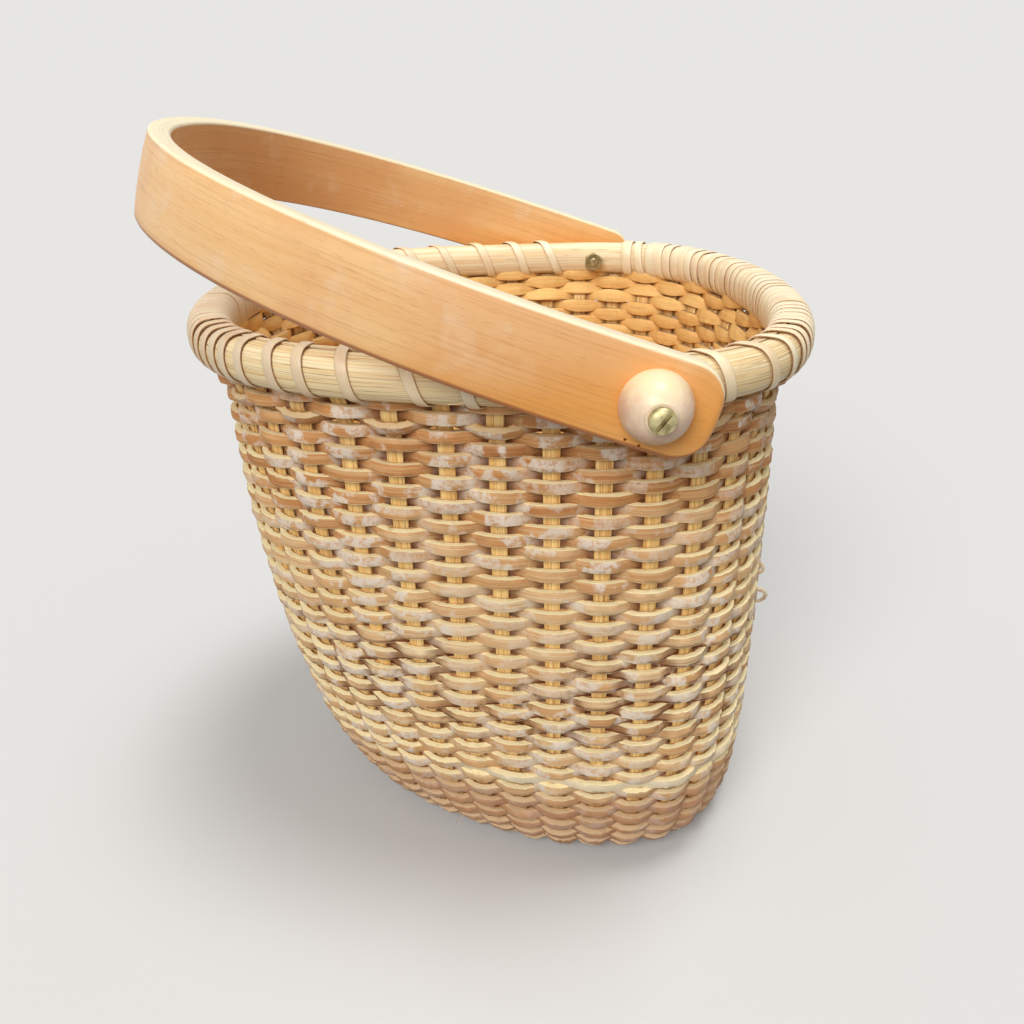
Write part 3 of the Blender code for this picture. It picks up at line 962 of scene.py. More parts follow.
@dataclass
class BasketForm:
    """The wall's middle surface from the base board's edge to the rim, and the rim's sizes."""

    rim: Outline = field(default_factory=lambda: Outline(0.0789, 0.0764, 0.162, 0.348, -0.01285))
    foot: Outline = field(default_factory=lambda: Outline(0.0560, 0.0508, 0.24))
    root_height: float = 0.003
    wall_top: float = 0.1424
    rim_height: float = 0.155
    hoop_depth: float = 0.0105
    hoop_half: float = 0.0052
    hoop_middle: float = 0.1501
    hoop_seam: float = 0.00068
    hoop_fatness: float = 0.72
    outer_hoop: float = 0.0049
    inner_hoop: float = 0.0044
    pivot_x: float = 0.02005
    foot_turn: float = -0.01
    foot_run: float = 0.14
    inset: float = 0.0030
    narrow_inset: float = 0.0004
    flare: float = 0.045
    hold: float = 0.5
    tuck: float = 0.0009
    side_powers: tuple[float, float] = (1.1, 1.2)
    narrow_powers: tuple[float, float] = (1.78, 1.68)
    blunt_powers: tuple[float, float] = (4.5, 3.0)
    end_blend: float = 1.5
    staves: int = 41
    stave_phase: float = 0.34

    @property
    def pivot_height(self) -> float:
        """The height of the screws' axis."""
        return self.rim_height - self.hoop_depth / 2

    @property
    def pivot_span(self) -> float:
        """From the middle plane to the middle of the rim at the pivots."""
        return float(self.rim.point(self.rim.share_at_x(self.pivot_x, Side.FAR))[1])

    def pivot(self, side: Side, reach: float) -> Matrix:
        """A matrix on the pivot axis.

        Args:
            side: Which end.
            reach: How far from the middle plane.

        Returns:
            The matrix, its +Z pointing out of the basket.
        """
        turn = Matrix.Rotation(side.value * math.radians(-90), 4, "X")
        place = (self.pivot_x, side.value * reach, self.pivot_height)
        return Matrix.Translation(place) @ turn

    def wall(self, shares: Array, rises: Array) -> Array:
        """Points of the wall's middle surface.

        Args:
            shares: Places round the basket.
            rises: Shares of the height, 0 at the base and 1 under the rim. Over 1 the
                wall goes straight up, and under 0 level towards the base board.

        Returns:
            The points.
        """
        shares, heights = np.broadcast_arrays(np.asarray(shares, float), rises)
        rises = np.clip(heights, 0, 1)
        cosine = np.cos(self.rim.angle(shares))
        narrow = ((1 - cosine) / 2) ** self.end_blend
        blunt = ((1 + cosine) / 2) ** self.end_blend
        side = 1 - narrow - blunt
        fall, roundness = (
            narrow * narrow_power + blunt * blunt_power + side * side_power
            for narrow_power, blunt_power, side_power in zip(
                self.narrow_powers, self.blunt_powers, self.side_powers
            )
        )
        spread = (1 - (1 - rises) ** fall) ** (1 / roundness)
        ease = np.clip((1 - rises) / self.flare, self.hold, 1)
        drawn_in = self.inset + self.tuck + self.narrow_inset * narrow * rises
        drawn_in = drawn_in * ease**2 * (3 - 2 * ease)
        turned_shares = shares + self.foot_turn
        foot_outward = self.foot.outward(turned_shares)
        low = self.foot.point(turned_shares) - foot_outward * self.tuck
        high = self.rim.point(shares) - self.rim.outward(shares) * drawn_in[..., None]
        plan = low + (high - low) * spread[..., None]
        plan = plan + foot_outward * np.minimum(heights, 0)[..., None] * self.foot_run
        height = self.root_height + (self.wall_top - self.root_height) * np.maximum(heights, 0)
        return np.concatenate([plan, height[..., None]], axis=-1)

    def frames(self, shares: Array, rises: Array) -> tuple[Array, Array, Array, Array]:
        """The wall's points and directions.

        Args:
            shares: Places round the basket.
            rises: Shares of the height.

        Returns:
            The points with their level, upward and outward directions.
        """
        step = 1 / 1440
        along = unit(self.wall(shares + step, rises) - self.wall(shares - step, rises))
        low = np.maximum(rises - 0.003, 0)
        up = unit(self.wall(shares, low + 0.006) - self.wall(shares, low))
        outward = unit(np.cross(along, up))
        up = unit(np.cross(outward, along))
        return self.wall(shares, rises), along, up, outward


# Woven parts


@dataclass
class Weave:
    """One cane weaver, wound in a spiral over and under the staves."""

    form: BasketForm
    turns: int = 54
    steps: int = 12
    bands: int = 5
    thickness: float = 0.0021
    width_share: float = 0.99
    outer_swell: float = 0.10
    inner_swell: float = 0.52
    outer_power: float = 1.3
    inner_power: float = 0.8
    least_width_share: float = 0.12
    stave_half: float = 0.00055
    first_rise: float = -0.0090
    first_draw: float = 0.18
    last_rise: float = 1.025
    slope: float = 1.62
    corner: float = 7.0
    seed: int = 11
    tint_run: int = 23
    uneven_push: float = 0.06
    uneven_lift: float = 0.00015
    uneven_lean: float = 0.09
    uneven_face: float = 0.00009
    fresh_turns: tuple[float, float] = (14.70, 14.94)
    fresh_ease: float = 0.01
    shape: Shape = ((0, -0.5), (0.4, -0.47), (0.5, -0.36), (0.5, 0.28), (0.46, 0.4), (0, 0.52))

    def rises(self, columns: Array, marks: Array) -> tuple[Array, Array]:
        """The heights that space the rows evenly up each line of the wall.

        Args:
            columns: Each station's column round the basket.
            marks: Each station's share of the way up, by length along the wall.

        Returns:
            The rises, and the wall's lengths at the stations, in metres.
        """
        per_turn = self.form.staves * self.steps
        shares = np.arange(per_turn) / per_turn
        grid = np.linspace(0, self.last_rise**0.5, 260) ** 2
        grid = np.concatenate([[self.first_rise], grid])
        points = self.form.wall(shares[:, None], grid[None, :])
        arcs = np.linalg.norm(np.diff(points, axis=1), axis=2).cumsum(axis=1)
        arcs = np.concatenate([np.zeros((per_turn, 1)), arcs], axis=1)
        found = np.empty(len(columns))
        for column in range(per_turn):
            here = columns == column
            found[here] = np.interp(marks[here] * arcs[column, -1], arcs[column], grid)
        return found, arcs[columns, -1]

    def sway(self, counter: Array) -> Array:
        """How far out the weaver lies, flat over the staves and straight between them.

        Args:
            counter: Places along the spiral, whole numbers on the staves.

        Returns:
            -1 inside to 1 outside a stave.
        """
        ramp = self.slope * (1 - 2 * np.abs((counter + 1) % 2 - 1))
        return ramp / (1 + np.abs(ramp) ** self.corner) ** (1 / self.corner)

    def build(self, finish: CaneFinish) -> None:
        """Makes the spiral in bands of turns, tapered where it starts and ends.

        Args:
            finish: The cane's finish.
        """
        form = self.form
        per_turn = form.staves * self.steps
        index = np.arange(per_turn * self.turns + 1)
        turns = index / per_turn
        whole = self.turns - 1
        low = np.clip(turns - 1, 0, whole) / whole
        high = np.clip(turns, 0, whole) / whole
        rises, lengths_up = self.rises(index % per_turn, (low + high) / 2)
        points, _, up, outward = form.frames(turns, rises)
        counter = turns * form.staves - form.stave_phase
        rng = np.random.RandomState(self.seed)
        lobes = np.arange(-2, int(counter[-1]) + 3)
        push, lift, roll, tint, dust = rng.normal(size=(5, len(lobes)))
        tint_knots = lobes[:: self.tint_run]
        long_tint = np.interp(lobes, tint_knots, rng.uniform(0, 1, len(tint_knots)))
        sway = self.sway(counter)
        reach = self.stave_half + self.thickness / 2
        reach = reach * (1 + self.uneven_push * np.interp(counter, lobes, push))
        reach = reach * (1 - self.first_draw * np.clip(1.5 - turns, 0, 1))
        raised = self.uneven_lift * np.interp(counter, lobes, lift)
        fresh = np.clip((turns - self.fresh_turns[0]) / self.fresh_ease, 0, 1)
        fresh *= np.clip((self.fresh_turns[1] - turns) / self.fresh_ease, 0, 1)
        offset = reach * (sway * (1 - 0.45 * fresh) + 0.7 * fresh)
        path = points + outward * offset[:, None] + up * raised[:, None]
        tangent = headings(path)
        tall = square(up, tangent)
        lean = (self.uneven_lean * np.interp(counter, lobes, roll))[:, None]
        tall, thick = tip(tall, np.cross(tangent, tall), lean)
        spacing = lengths_up / whole
        width = spacing * np.clip((high - low) * whole, self.least_width_share, 1)
        swell = np.where(sway > 0, self.outer_swell, self.inner_swell)
        power = np.where(sway > 0, self.outer_power, self.inner_power)
        width = width * self.width_share * (1 + swell * np.clip(np.abs(sway), 0, 1) ** power)
        corners, _ = strip_section(1.0, self.thickness, self.shape)
        _, around = strip_section(float(spacing.mean()), self.thickness, self.shape)
        rough = self.uneven_face * rng.normal(size=(len(index), len(corners)))
        rings = strip_rings(path, tall, thick, corners, width, rough[..., None])
        lengths = run_lengths(path)
        spread = 0.5 + 0.3 * tint[np.rint(counter).astype(int) + 2]
        marks = {
            "tone": 0.4 * np.interp(counter, lobes, long_tint) + 0.6 * np.clip(spread, 0, 1),
            "fresh": fresh,
            "depth": sway,
            "dust": np.clip(0.5 + 0.4 * dust[np.rint(counter - 0.25).astype(int) + 2], 0, 1),
        }
        material = finish.material()
        cuts = np.linspace(0, len(index) - 1, self.bands + 1).astype(int)
        for number, (first, last) in enumerate(zip(cuts, cuts[1:]), 1):
            part = slice(first, last + 1)
            held = {name: values[part] for name, values in marks.items()}
            mesh = Sweep(rings[part], around, lengths[part], held, math.radians(40)).mesh()
            add_piece(f"weave_band_{number}", mesh, material, ["woven_wall"])


@dataclass
class Staves:
    """Flat uprights from the board's groove to between the rim hoops."""

    form: BasketForm
    top_width: float = 0.0042
    base_width: float = 0.0036
    thickness: float = 0.0011
    tongue: float = 0.0063
    head_drop: float = 0.0012
    seed: int = 5
    uneven_bow: float = 0.00012
    uneven_bend: float = 0.0001
    shape: Shape = ((0, -0.5), (0.4, -0.48), (0.5, -0.15), (0.48, 0.2), (0.34, 0.44), (0, 0.55))

    def route(self, share: float) -> tuple[Array, Array, Array]:
        """A stave's middle line, its level directions and its widths.

        Args:
            share: The stave's place round the basket.

        Returns:
            The points, the level directions across the stave, and the widths.
        """
        form = self.form
        foot_rises = np.linspace(0.055, 0.32, 14) ** 2
        wall_rises = [np.linspace(0.125, 0.925, 36), np.linspace(0.935, 1.0, 9)]
        rises = np.concatenate([foot_rises, *wall_rises])
        points, along, _, _ = form.frames(np.full(len(rises), share), rises)
        foot, level, _, _ = form.frames(np.array([share]), np.array([0.0]))
        inward = np.array([-level[0, 1], level[0, 0], 0.0])
        roots = [foot[0] + inward * reach for reach in (self.tongue, 0.0024, 0.0009)]
        outward = form.rim.outward(share)
        side = np.array([-outward[1], outward[0], 0.0])
        bottom = form.hoop_middle - form.hoop_half
        tops = (bottom + 0.0008, bottom + 0.003, form.rim_height - self.head_drop)
        heads = [np.array([*form.rim.point(share), height]) for height in tops]
        path = np.vstack([roots, points, heads])
        across = np.vstack([[level[0]] * 3, along, [side] * 3])
        shares = np.clip(path[:, 2] / form.wall_top, 0, 1)
        widths = self.base_width + (self.top_width - self.base_width) * shares
        return path, unit(across), widths

    def build(self, finish: ReedFinish) -> None:
        """Makes every stave.

        Args:
            finish: The reed's finish.
        """
        material = finish.material()
        rng = np.random.RandomState(self.seed)
        corners, around = strip_section(self.top_width, self.thickness, self.shape)
        corners = corners / np.array([self.top_width, 1.0])
        for number in range(self.form.staves):
            share = (number + self.form.stave_phase) / self.form.staves
            path, across, widths = self.route(share)
            sway = rng.normal(size=3)
            height = path[:, 2] / self.form.rim_height
            bend = np.sin(math.pi * height) * self.uneven_bow * sway[0]
            bend += np.sin(2 * math.pi * height) * self.uneven_bend * sway[1]
            path = path + across * bend[:, None]
            tangent = headings(path)
            across = square(across, tangent)
            rings = strip_rings(path, across, np.cross(across, tangent), corners, widths)
            lengths = run_lengths(path) + number * 0.31
            mesh = Sweep(rings, around, lengths, {"tone": rng.uniform(0, 1)}).mesh()
            name = f"stave_{number + 1:02d}"
            add_piece(f"{name}_reed", mesh, material, [name])


@dataclass
class BaseBoard:
    """The egg-shaped board under the basket, grooved for the staves."""

    half_length: float = 0.0536
    half_width: float = 0.0484
    taper: float = 0.24
    thickness: float = 0.006
    edge_round: float = 0.0009
    groove_depth: float = 0.0055
    groove_half: float = 0.00085
    stations: int = 180

    def build(self, finish: BoardFinish) -> None:
        """Makes the board.

        Args:
            finish: The wood's finish.
        """
        middle = self.thickness / 2
        bend = [math.pi / 2 * step / 4 for step in range(5)]
        low = [
            (self.edge_round * (1 - math.sin(turn)), self.edge_round * (1 - math.cos(turn)))
            for turn in bend
        ]
        under, over = middle - self.groove_half, middle + self.groove_half
        groove = [(0.0, under), (self.groove_depth, under), (self.groove_depth, over), (0.0, over)]
        high = [(inset, self.thickness - height) for inset, height in reversed(low)]
        shares = np.arange(self.stations) / self.stations
        rings = []
        for inset, height in [*low, *groove, *high]:
            plan = Outline(self.half_length - inset, self.half_width - inset, self.taper)
            rings.append(np.column_stack([plan.point(shares), np.full(self.stations, height)]))
        rings = np.array(rings)
        around = np.linspace(0, 0.33, self.stations + 1)
        mesh = Sweep(rings, around, run_lengths(rings[:, 0]), crease=math.radians(50)).mesh()
        add_piece("base_board", mesh, finish.material(), ["base_plate"])


# Rim


@dataclass
class RimHoop:
    """A bent half-round hoop with its scarfed ends, outside or inside the staves."""

    form: BasketForm
    outside: bool
    scarf_x: float
    lip: float = 0.0003
    step: float = 0.00016
    scarf_length: float = 0.020
    scarf_gap: float = 0.0003
    stations: int = 300
    arc_steps: int = 14

    @property
    def thickness(self) -> float:
        """The hoop's thickness."""
        return self.form.outer_hoop if self.outside else self.form.inner_hoop

    def section(self) -> Array:
        """Corners as (distance from the seam, height from the hoop's middle)."""
        half, seam = self.form.hoop_half, self.form.hoop_seam
        corners = [(seam, 0.0), (seam, -0.7 * half)]
        for step in range(self.arc_steps + 1):
            angle = math.pi * (step / self.arc_steps - 0.5)
            start = self.lip if step > self.arc_steps / 2 else seam
            reach = self.thickness + seam - start
            out = start + reach * max(math.cos(angle), 0) ** self.form.hoop_fatness
            corners.append((out, half * math.sin(angle)))
        corners += [(self.lip, 0.86 * half), (seam, 0.70 * half)]
        return np.array(corners)

    def build(self, finish: ReedFinish, bore_radius: float) -> None:
        """Makes the hoop.

        Args:
            finish: The reed's finish.
            bore_radius: The screw holes' radius.
        """
        form, seam = self.form, self.form.hoop_seam
        section = self.section()
        sign = 1 if self.outside else -1
        start = form.rim.share_at_x(self.scarf_x, Side.NEAR)
        length = form.rim.length
        steps = np.linspace(0, 1 - self.scarf_gap / length, self.stations)
        slant = np.clip((section[:, 0] - seam) / self.thickness, 0, 1)
        slant = slant * self.scarf_length / length
        shares = start + steps[:, None] + slant[None, :]
        away = steps * length
        swell = 1 + 0.07 * np.exp(-away / 0.009) - 0.03 * np.exp(-(length - away) / 0.012)
        turn = 2 * math.pi * steps
        swell = swell + 0.018 * np.sin(5 * turn + 1) + 0.012 * np.sin(11 * turn)
        sag = 0.00012 * np.sin(3 * turn + 0.6) + 0.00008 * np.sin(8 * turn)
        out = seam + (section[None, :, 0] - seam) * swell[:, None]
        plan = form.rim.point(shares) + form.rim.outward(shares) * (sign * out)[..., None]
        height = form.hoop_middle - sign * self.step + section[None, :, 1] + sag[:, None]
        rings = np.concatenate([plan, height[..., None]], axis=-1)
        marks = {"tone": 0.3 + 0.4 * self.outside}
        mesh = Sweep(rings, round_lengths(section), away, marks).mesh()
        bores = [rod(bore_radius, -0.02, 0.02, form.pivot(side, form.pivot_span)) for side in Side]
        word = "outer" if self.outside else "inner"
        material = finish.material()
        add_piece(f"{word}_hoop", carve(mesh, bores), material, [f"{word}_rim"])


@dataclass
class RimLashing:
    """Flat cane wound round both hoops, close together round the basket's two ends."""

    form: BasketForm
    clearance: float = 0.00016
    width: float = 0.0028
    close_width: float = 0.0038
    thickness: float = 0.00042
    close_pitch: float = 0.0041
    turn_points: int = 36
    screw_clear: float = 0.0052
    seed: int = 3
    narrow_turns: tuple[float, ...] = (
        0.5690, 0.5780, 0.5875, 0.5976, 0.6060, 0.6148, 0.6276,
        0.6466, 0.6614, 0.6824, 0.7134, 0.7350, 0.7570, 0.7770,
    )
    blunt_turns: tuple[float, ...] = (
        0.8184, 0.8410, 0.8656, 0.8795, 0.8895, 0.8985, 0.9070, 0.9152,
    )
    close_zones: tuple[tuple[float, float], ...] = ((-0.0745, -0.0700), (0.0600, 0.0390))
    shape: Shape = ((0, -0.5), (0.45, -0.5), (0.5, -0.05), (0.44, 0.3), (0.22, 0.46), (0, 0.5))

    def loop(self) -> tuple[Array, Array, Array]:
        """One turn round the hoops' section, from below, up inside and down outside.

        Returns:
            Points as (out, up), their outward normals, and the eased progress.
        """
        form = self.form
        angle = -math.pi / 2 - np.linspace(0, 2 * math.pi, 721)
        thick = np.where(np.cos(angle) > 0, form.outer_hoop, form.inner_hoop)
        reach = form.hoop_seam + thick * np.abs(np.cos(angle)) ** form.hoop_fatness
        curve = np.column_stack([np.sign(np.cos(angle)) * reach, form.hoop_half * np.sin(angle)])
        curve = soften(np.vstack([curve[-16:-1], curve, curve[1:16]]), 31)
        along = headings(curve)
        normal = np.column_stack([-along[:, 1], along[:, 0]])
        if np.sum(normal * curve) < 0:
            normal = -normal
        gap = np.interp(np.abs(curve[:, 1]), [0, form.hoop_half], [0.0, self.clearance])
        curve = curve + normal * (self.clearance + self.thickness / 2 + gap)[:, None]
        lengths = run_lengths(curve)
        picks = np.linspace(0, lengths[-1], self.turn_points + 1)[:-1]
        normals = unit(resample(picks, lengths, normal))
        return resample(picks, lengths, curve), normals, picks / lengths[-1]

    def is_close(self, share: float) -> bool:
        """Whether the turns lie side by side at this place round the rim."""
        share = share % 1
        rim = self.form.rim
        (narrow_near, narrow_far), (blunt_near, blunt_far) = (
            (rim.share_at_x(near, Side.NEAR), rim.share_at_x(far, Side.FAR))
            for near, far in self.close_zones
        )
        return narrow_far < share < narrow_near or share > blunt_near or share < blunt_far

    def holes(self, first: float, last: float) -> list[float]:
        """Where the cane passes under the hoops on one run.

        Args:
            first: The run's first share.
            last: The run's last share.

        Returns:
            The shares.
        """
        staves, phase = self.form.staves, self.form.stave_phase
        pitch = self.close_pitch / self.form.rim.length
        spots = []
        number = math.ceil(first * staves - phase - 0.5)
        share = (number + phase + 0.5) / staves
        while share < last:
            spots.append(share)
            if self.is_close(share):
                share += pitch
            if not self.is_close(share) or not self.is_close(spots[-1]):
                number = math.floor(spots[-1] * staves - phase - 0.5 + 1e-6) + 1
                share = (number + phase + 0.5) / staves
                if self.is_close(share) and not self.is_close(spots[-1]):
                    while self.is_close(share):
                        share -= pitch
                    share += pitch
        return spots

    def run(self, spots: list[float], rng: np.random.RandomState) -> tuple[Array, Array, Array]:
        """One unbroken winding through the given holes.

        Args:
            spots: The holes' shares.
            rng: The source of small irregularities.

        Returns:
            The rings, the lengths and the tones.
        """
        rim = self.form.rim
        points, normals, done = self.loop()
        eased = np.interp(done, [0, 0.42, 0.58, 1.0], [0, 0.50, 0.66, 1.0])
        bulge = np.sin(math.pi * done)
        last_pitch = spots[-1] - spots[-2]
        turns = []
        for here, there in zip(spots, [*spots[1:], spots[-1] + last_pitch * 0.5]):
            wobble = rng.normal(size=3)
            pitch = there - here
            close = pitch < 1.04 * self.close_pitch / rim.length
            shares = here + pitch * eased + bulge * (0.0004 / rim.length * wobble[0])
            push = 0.00003 * (1 + wobble[1]) * bulge
            fixed = [
                0.01 + 0.02 * wobble[2],
                self.close_width if close else self.width,
                rng.uniform(0, 1),
            ]
            fixed = np.tile(fixed, (len(done), 1))
            turns.append(
                np.column_stack([shares, points + normals * push[:, None], normals, fixed])
            )
        share, out, up, out_normal, up_normal, tilt, widths, tones = np.vstack(turns).T
        outward = rim.outward(share)
        plan = rim.point(share) + outward * out[:, None]
        path = np.column_stack([plan, self.form.hoop_middle + up])
        normal = np.column_stack([outward * out_normal[:, None], up_normal])
        tangent = headings(path)
        normal = square(normal, tangent)
        across, normal = tip(np.cross(tangent, normal), normal, tilt[:, None])
        corners, _ = strip_section(1.0, self.thickness, self.shape)
        blur = np.ones(self.turn_points) / self.turn_points
        width = np.convolve(np.pad(widths, self.turn_points, "edge"), blur)
        width = width[self.turn_points + self.turn_points // 2 :][: len(path)]
        return strip_rings(path, across, normal, corners, width), run_lengths(path), tones

    def build(self, finish: LashingFinish) -> None:
        """Makes the two windings, one from screw to screw round each end.

        Args:
            finish: The cane's finish.
        """
        rng = np.random.RandomState(self.seed)
        rim = self.form.rim
        far, near = (rim.share_at_x(self.form.pivot_x, side) for side in Side)
        clear = self.screw_clear / rim.length
        least = 0.8 * self.close_pitch / rim.length
        narrow = self.holes(far + clear, near - 2.2 * clear)
        blunt = self.holes(near + clear, 1 + far - 2.2 * clear)
        narrow = [spot for spot in narrow if spot < self.narrow_turns[0] - least]
        blunt = [spot for spot in blunt if spot > self.blunt_turns[-1] + least]
        runs = {"narrow": [*narrow, *self.narrow_turns], "blunt": [*self.blunt_turns, *blunt]}
        material = finish.material()
        _, around = strip_section(self.width, self.thickness, self.shape)
        for word, spots in runs.items():
            rings, lengths, tones = self.run(spots, rng)
            mesh = Sweep(rings, around, lengths, {"tone": tones}).mesh()
            add_piece(f"lashing_{word}_end", mesh, material, ["rim_lashing"])


# Handle and pivots


@dataclass
class SwingHandle:
    """The bent wooden strip that swings on the two screws."""

    form: BasketForm
    reach: float = 0.1279
    leg_gap: float = 0.00895
    arch_share: float = 0.901
    width: float = 0.0212
    thickness: float = 0.0055
    edge_round: float = 0.0008
    crown: float = 0.0003
    end_reach: float = 0.0137
    end_flat: float = 0.0052
    rest_angle: float = math.radians(18.7)
    arch_steps: int = 150
    end_steps: int = 14
    nails: Shape = ((0.0030, -0.0091), (-0.0002, -0.0095))
    nail_radius: float = 0.00035

    @property
    def half_span(self) -> float:
        """From the middle plane to the middle of a leg."""
        return self.form.pivot_span + self.leg_gap + self.thickness / 2

    def stations(self) -> Array:
        """(along, across, half width, half thickness) from one leg's end to the other."""
        end_round = (self.width - self.end_flat) / 2
        steps = np.linspace(0, math.pi / 2, self.end_steps + 1)
        inset = end_round * (1 - np.cos(steps))
        half = self.width / 2 - end_round + np.sqrt(end_round**2 - (end_round - inset) ** 2)
        slim = self.thickness / 2 - 0.0008 * np.exp(-inset / 0.0006)
        side = np.full(len(inset), -self.half_span)
        leg = np.column_stack([inset - self.end_reach, side, half, slim])
        angle = np.linspace(0, math.pi, self.arch_steps + 1)
        along = self.reach * np.maximum(np.sin(angle), 0) ** self.arch_share
        cosine = np.cos(angle)
        across = -np.sign(cosine) * np.abs(cosine) ** self.arch_share * self.half_span
        sizes = np.tile([self.width / 2, self.thickness / 2], (len(angle), 1))
        arch = np.column_stack([along, across, sizes])
        return np.vstack([leg, arch, leg[::-1] * np.array([1, -1, 1, 1])])

    def section(self, half: float, slim: float) -> Array:
        """The strip's corners as (thickness, width), with rounded edges and a crown.

        Args:
            half: Half of the width.
            slim: Half of the thickness.

        Returns:
            The corners.
        """
        edge = self.edge_round
        corners = [(-slim, 0.0)]
        for x_sign, y_sign, first in ((-1, 1, 180), (1, 1, 90), (1, -1, 0), (-1, -1, -90)):
            for step in range(5):
                turn = math.radians(first - 90 * step / 4)
                x = x_sign * (slim - edge) + edge * math.cos(turn)
                corners.append((x, y_sign * (half - edge) + edge * math.sin(turn)))
            if (x_sign, y_sign) == (1, 1):
                corners.append((slim + self.crown, half * 0.5))
                corners.append((slim + self.crown * 1.35, 0.0))
                corners.append((slim + self.crown, -half * 0.5))
        return np.array(corners)

    def build(self, finish: HandleFinish, bore_radius: float) -> None:
        """Makes the handle, bored for the screws and with two nail holes.

        Args:
            finish: The wood's finish.
            bore_radius: The screw holes' radius.
        """
        form = self.form
        stations = self.stations()
        heading = headings(stations[:, :2])
        lift = np.array([-math.cos(self.rest_angle), 0, math.sin(self.rest_angle)])
        wide = np.array([math.sin(self.rest_angle), 0, math.cos(self.rest_angle)])
        level = np.array([0.0, 1.0, 0.0])
        centre = np.array([form.pivot_x, 0, form.pivot_height])
        rings = []
        for (along, across, half, slim), (head_x, head_y) in zip(stations, heading):
            out = lift * head_y - level * head_x
            middle = centre + lift * along + level * across
            corners = self.section(half, slim)
            rings.append(middle + out * corners[:, :1] + wide * corners[:, 1:])
        around = round_lengths(self.section(self.width / 2, self.thickness / 2))
        middle_line = centre + stations[:, :1] * lift + stations[:, 1:2] * level
        lengths = run_lengths(middle_line)
        mesh = Sweep(np.array(rings), around, lengths, crease=math.radians(35)).mesh()
        legs = [form.pivot(side, self.half_span) for side in Side]
        cutters = [rod(bore_radius, -0.012, 0.012, leg) for leg in legs]
        for along, up in self.nails:
            place = form.pivot(Side.NEAR, self.half_span + self.thickness / 2)
            place = Matrix.Translation(lift * along + wide * up) @ place
            cutters.append(rod(self.nail_radius, -0.0015, 0.002, place, 16))
        mesh = carve(mesh, cutters)
        add_piece("swing_handle", mesh, finish.material(), ["handle"], Body.HANDLE)


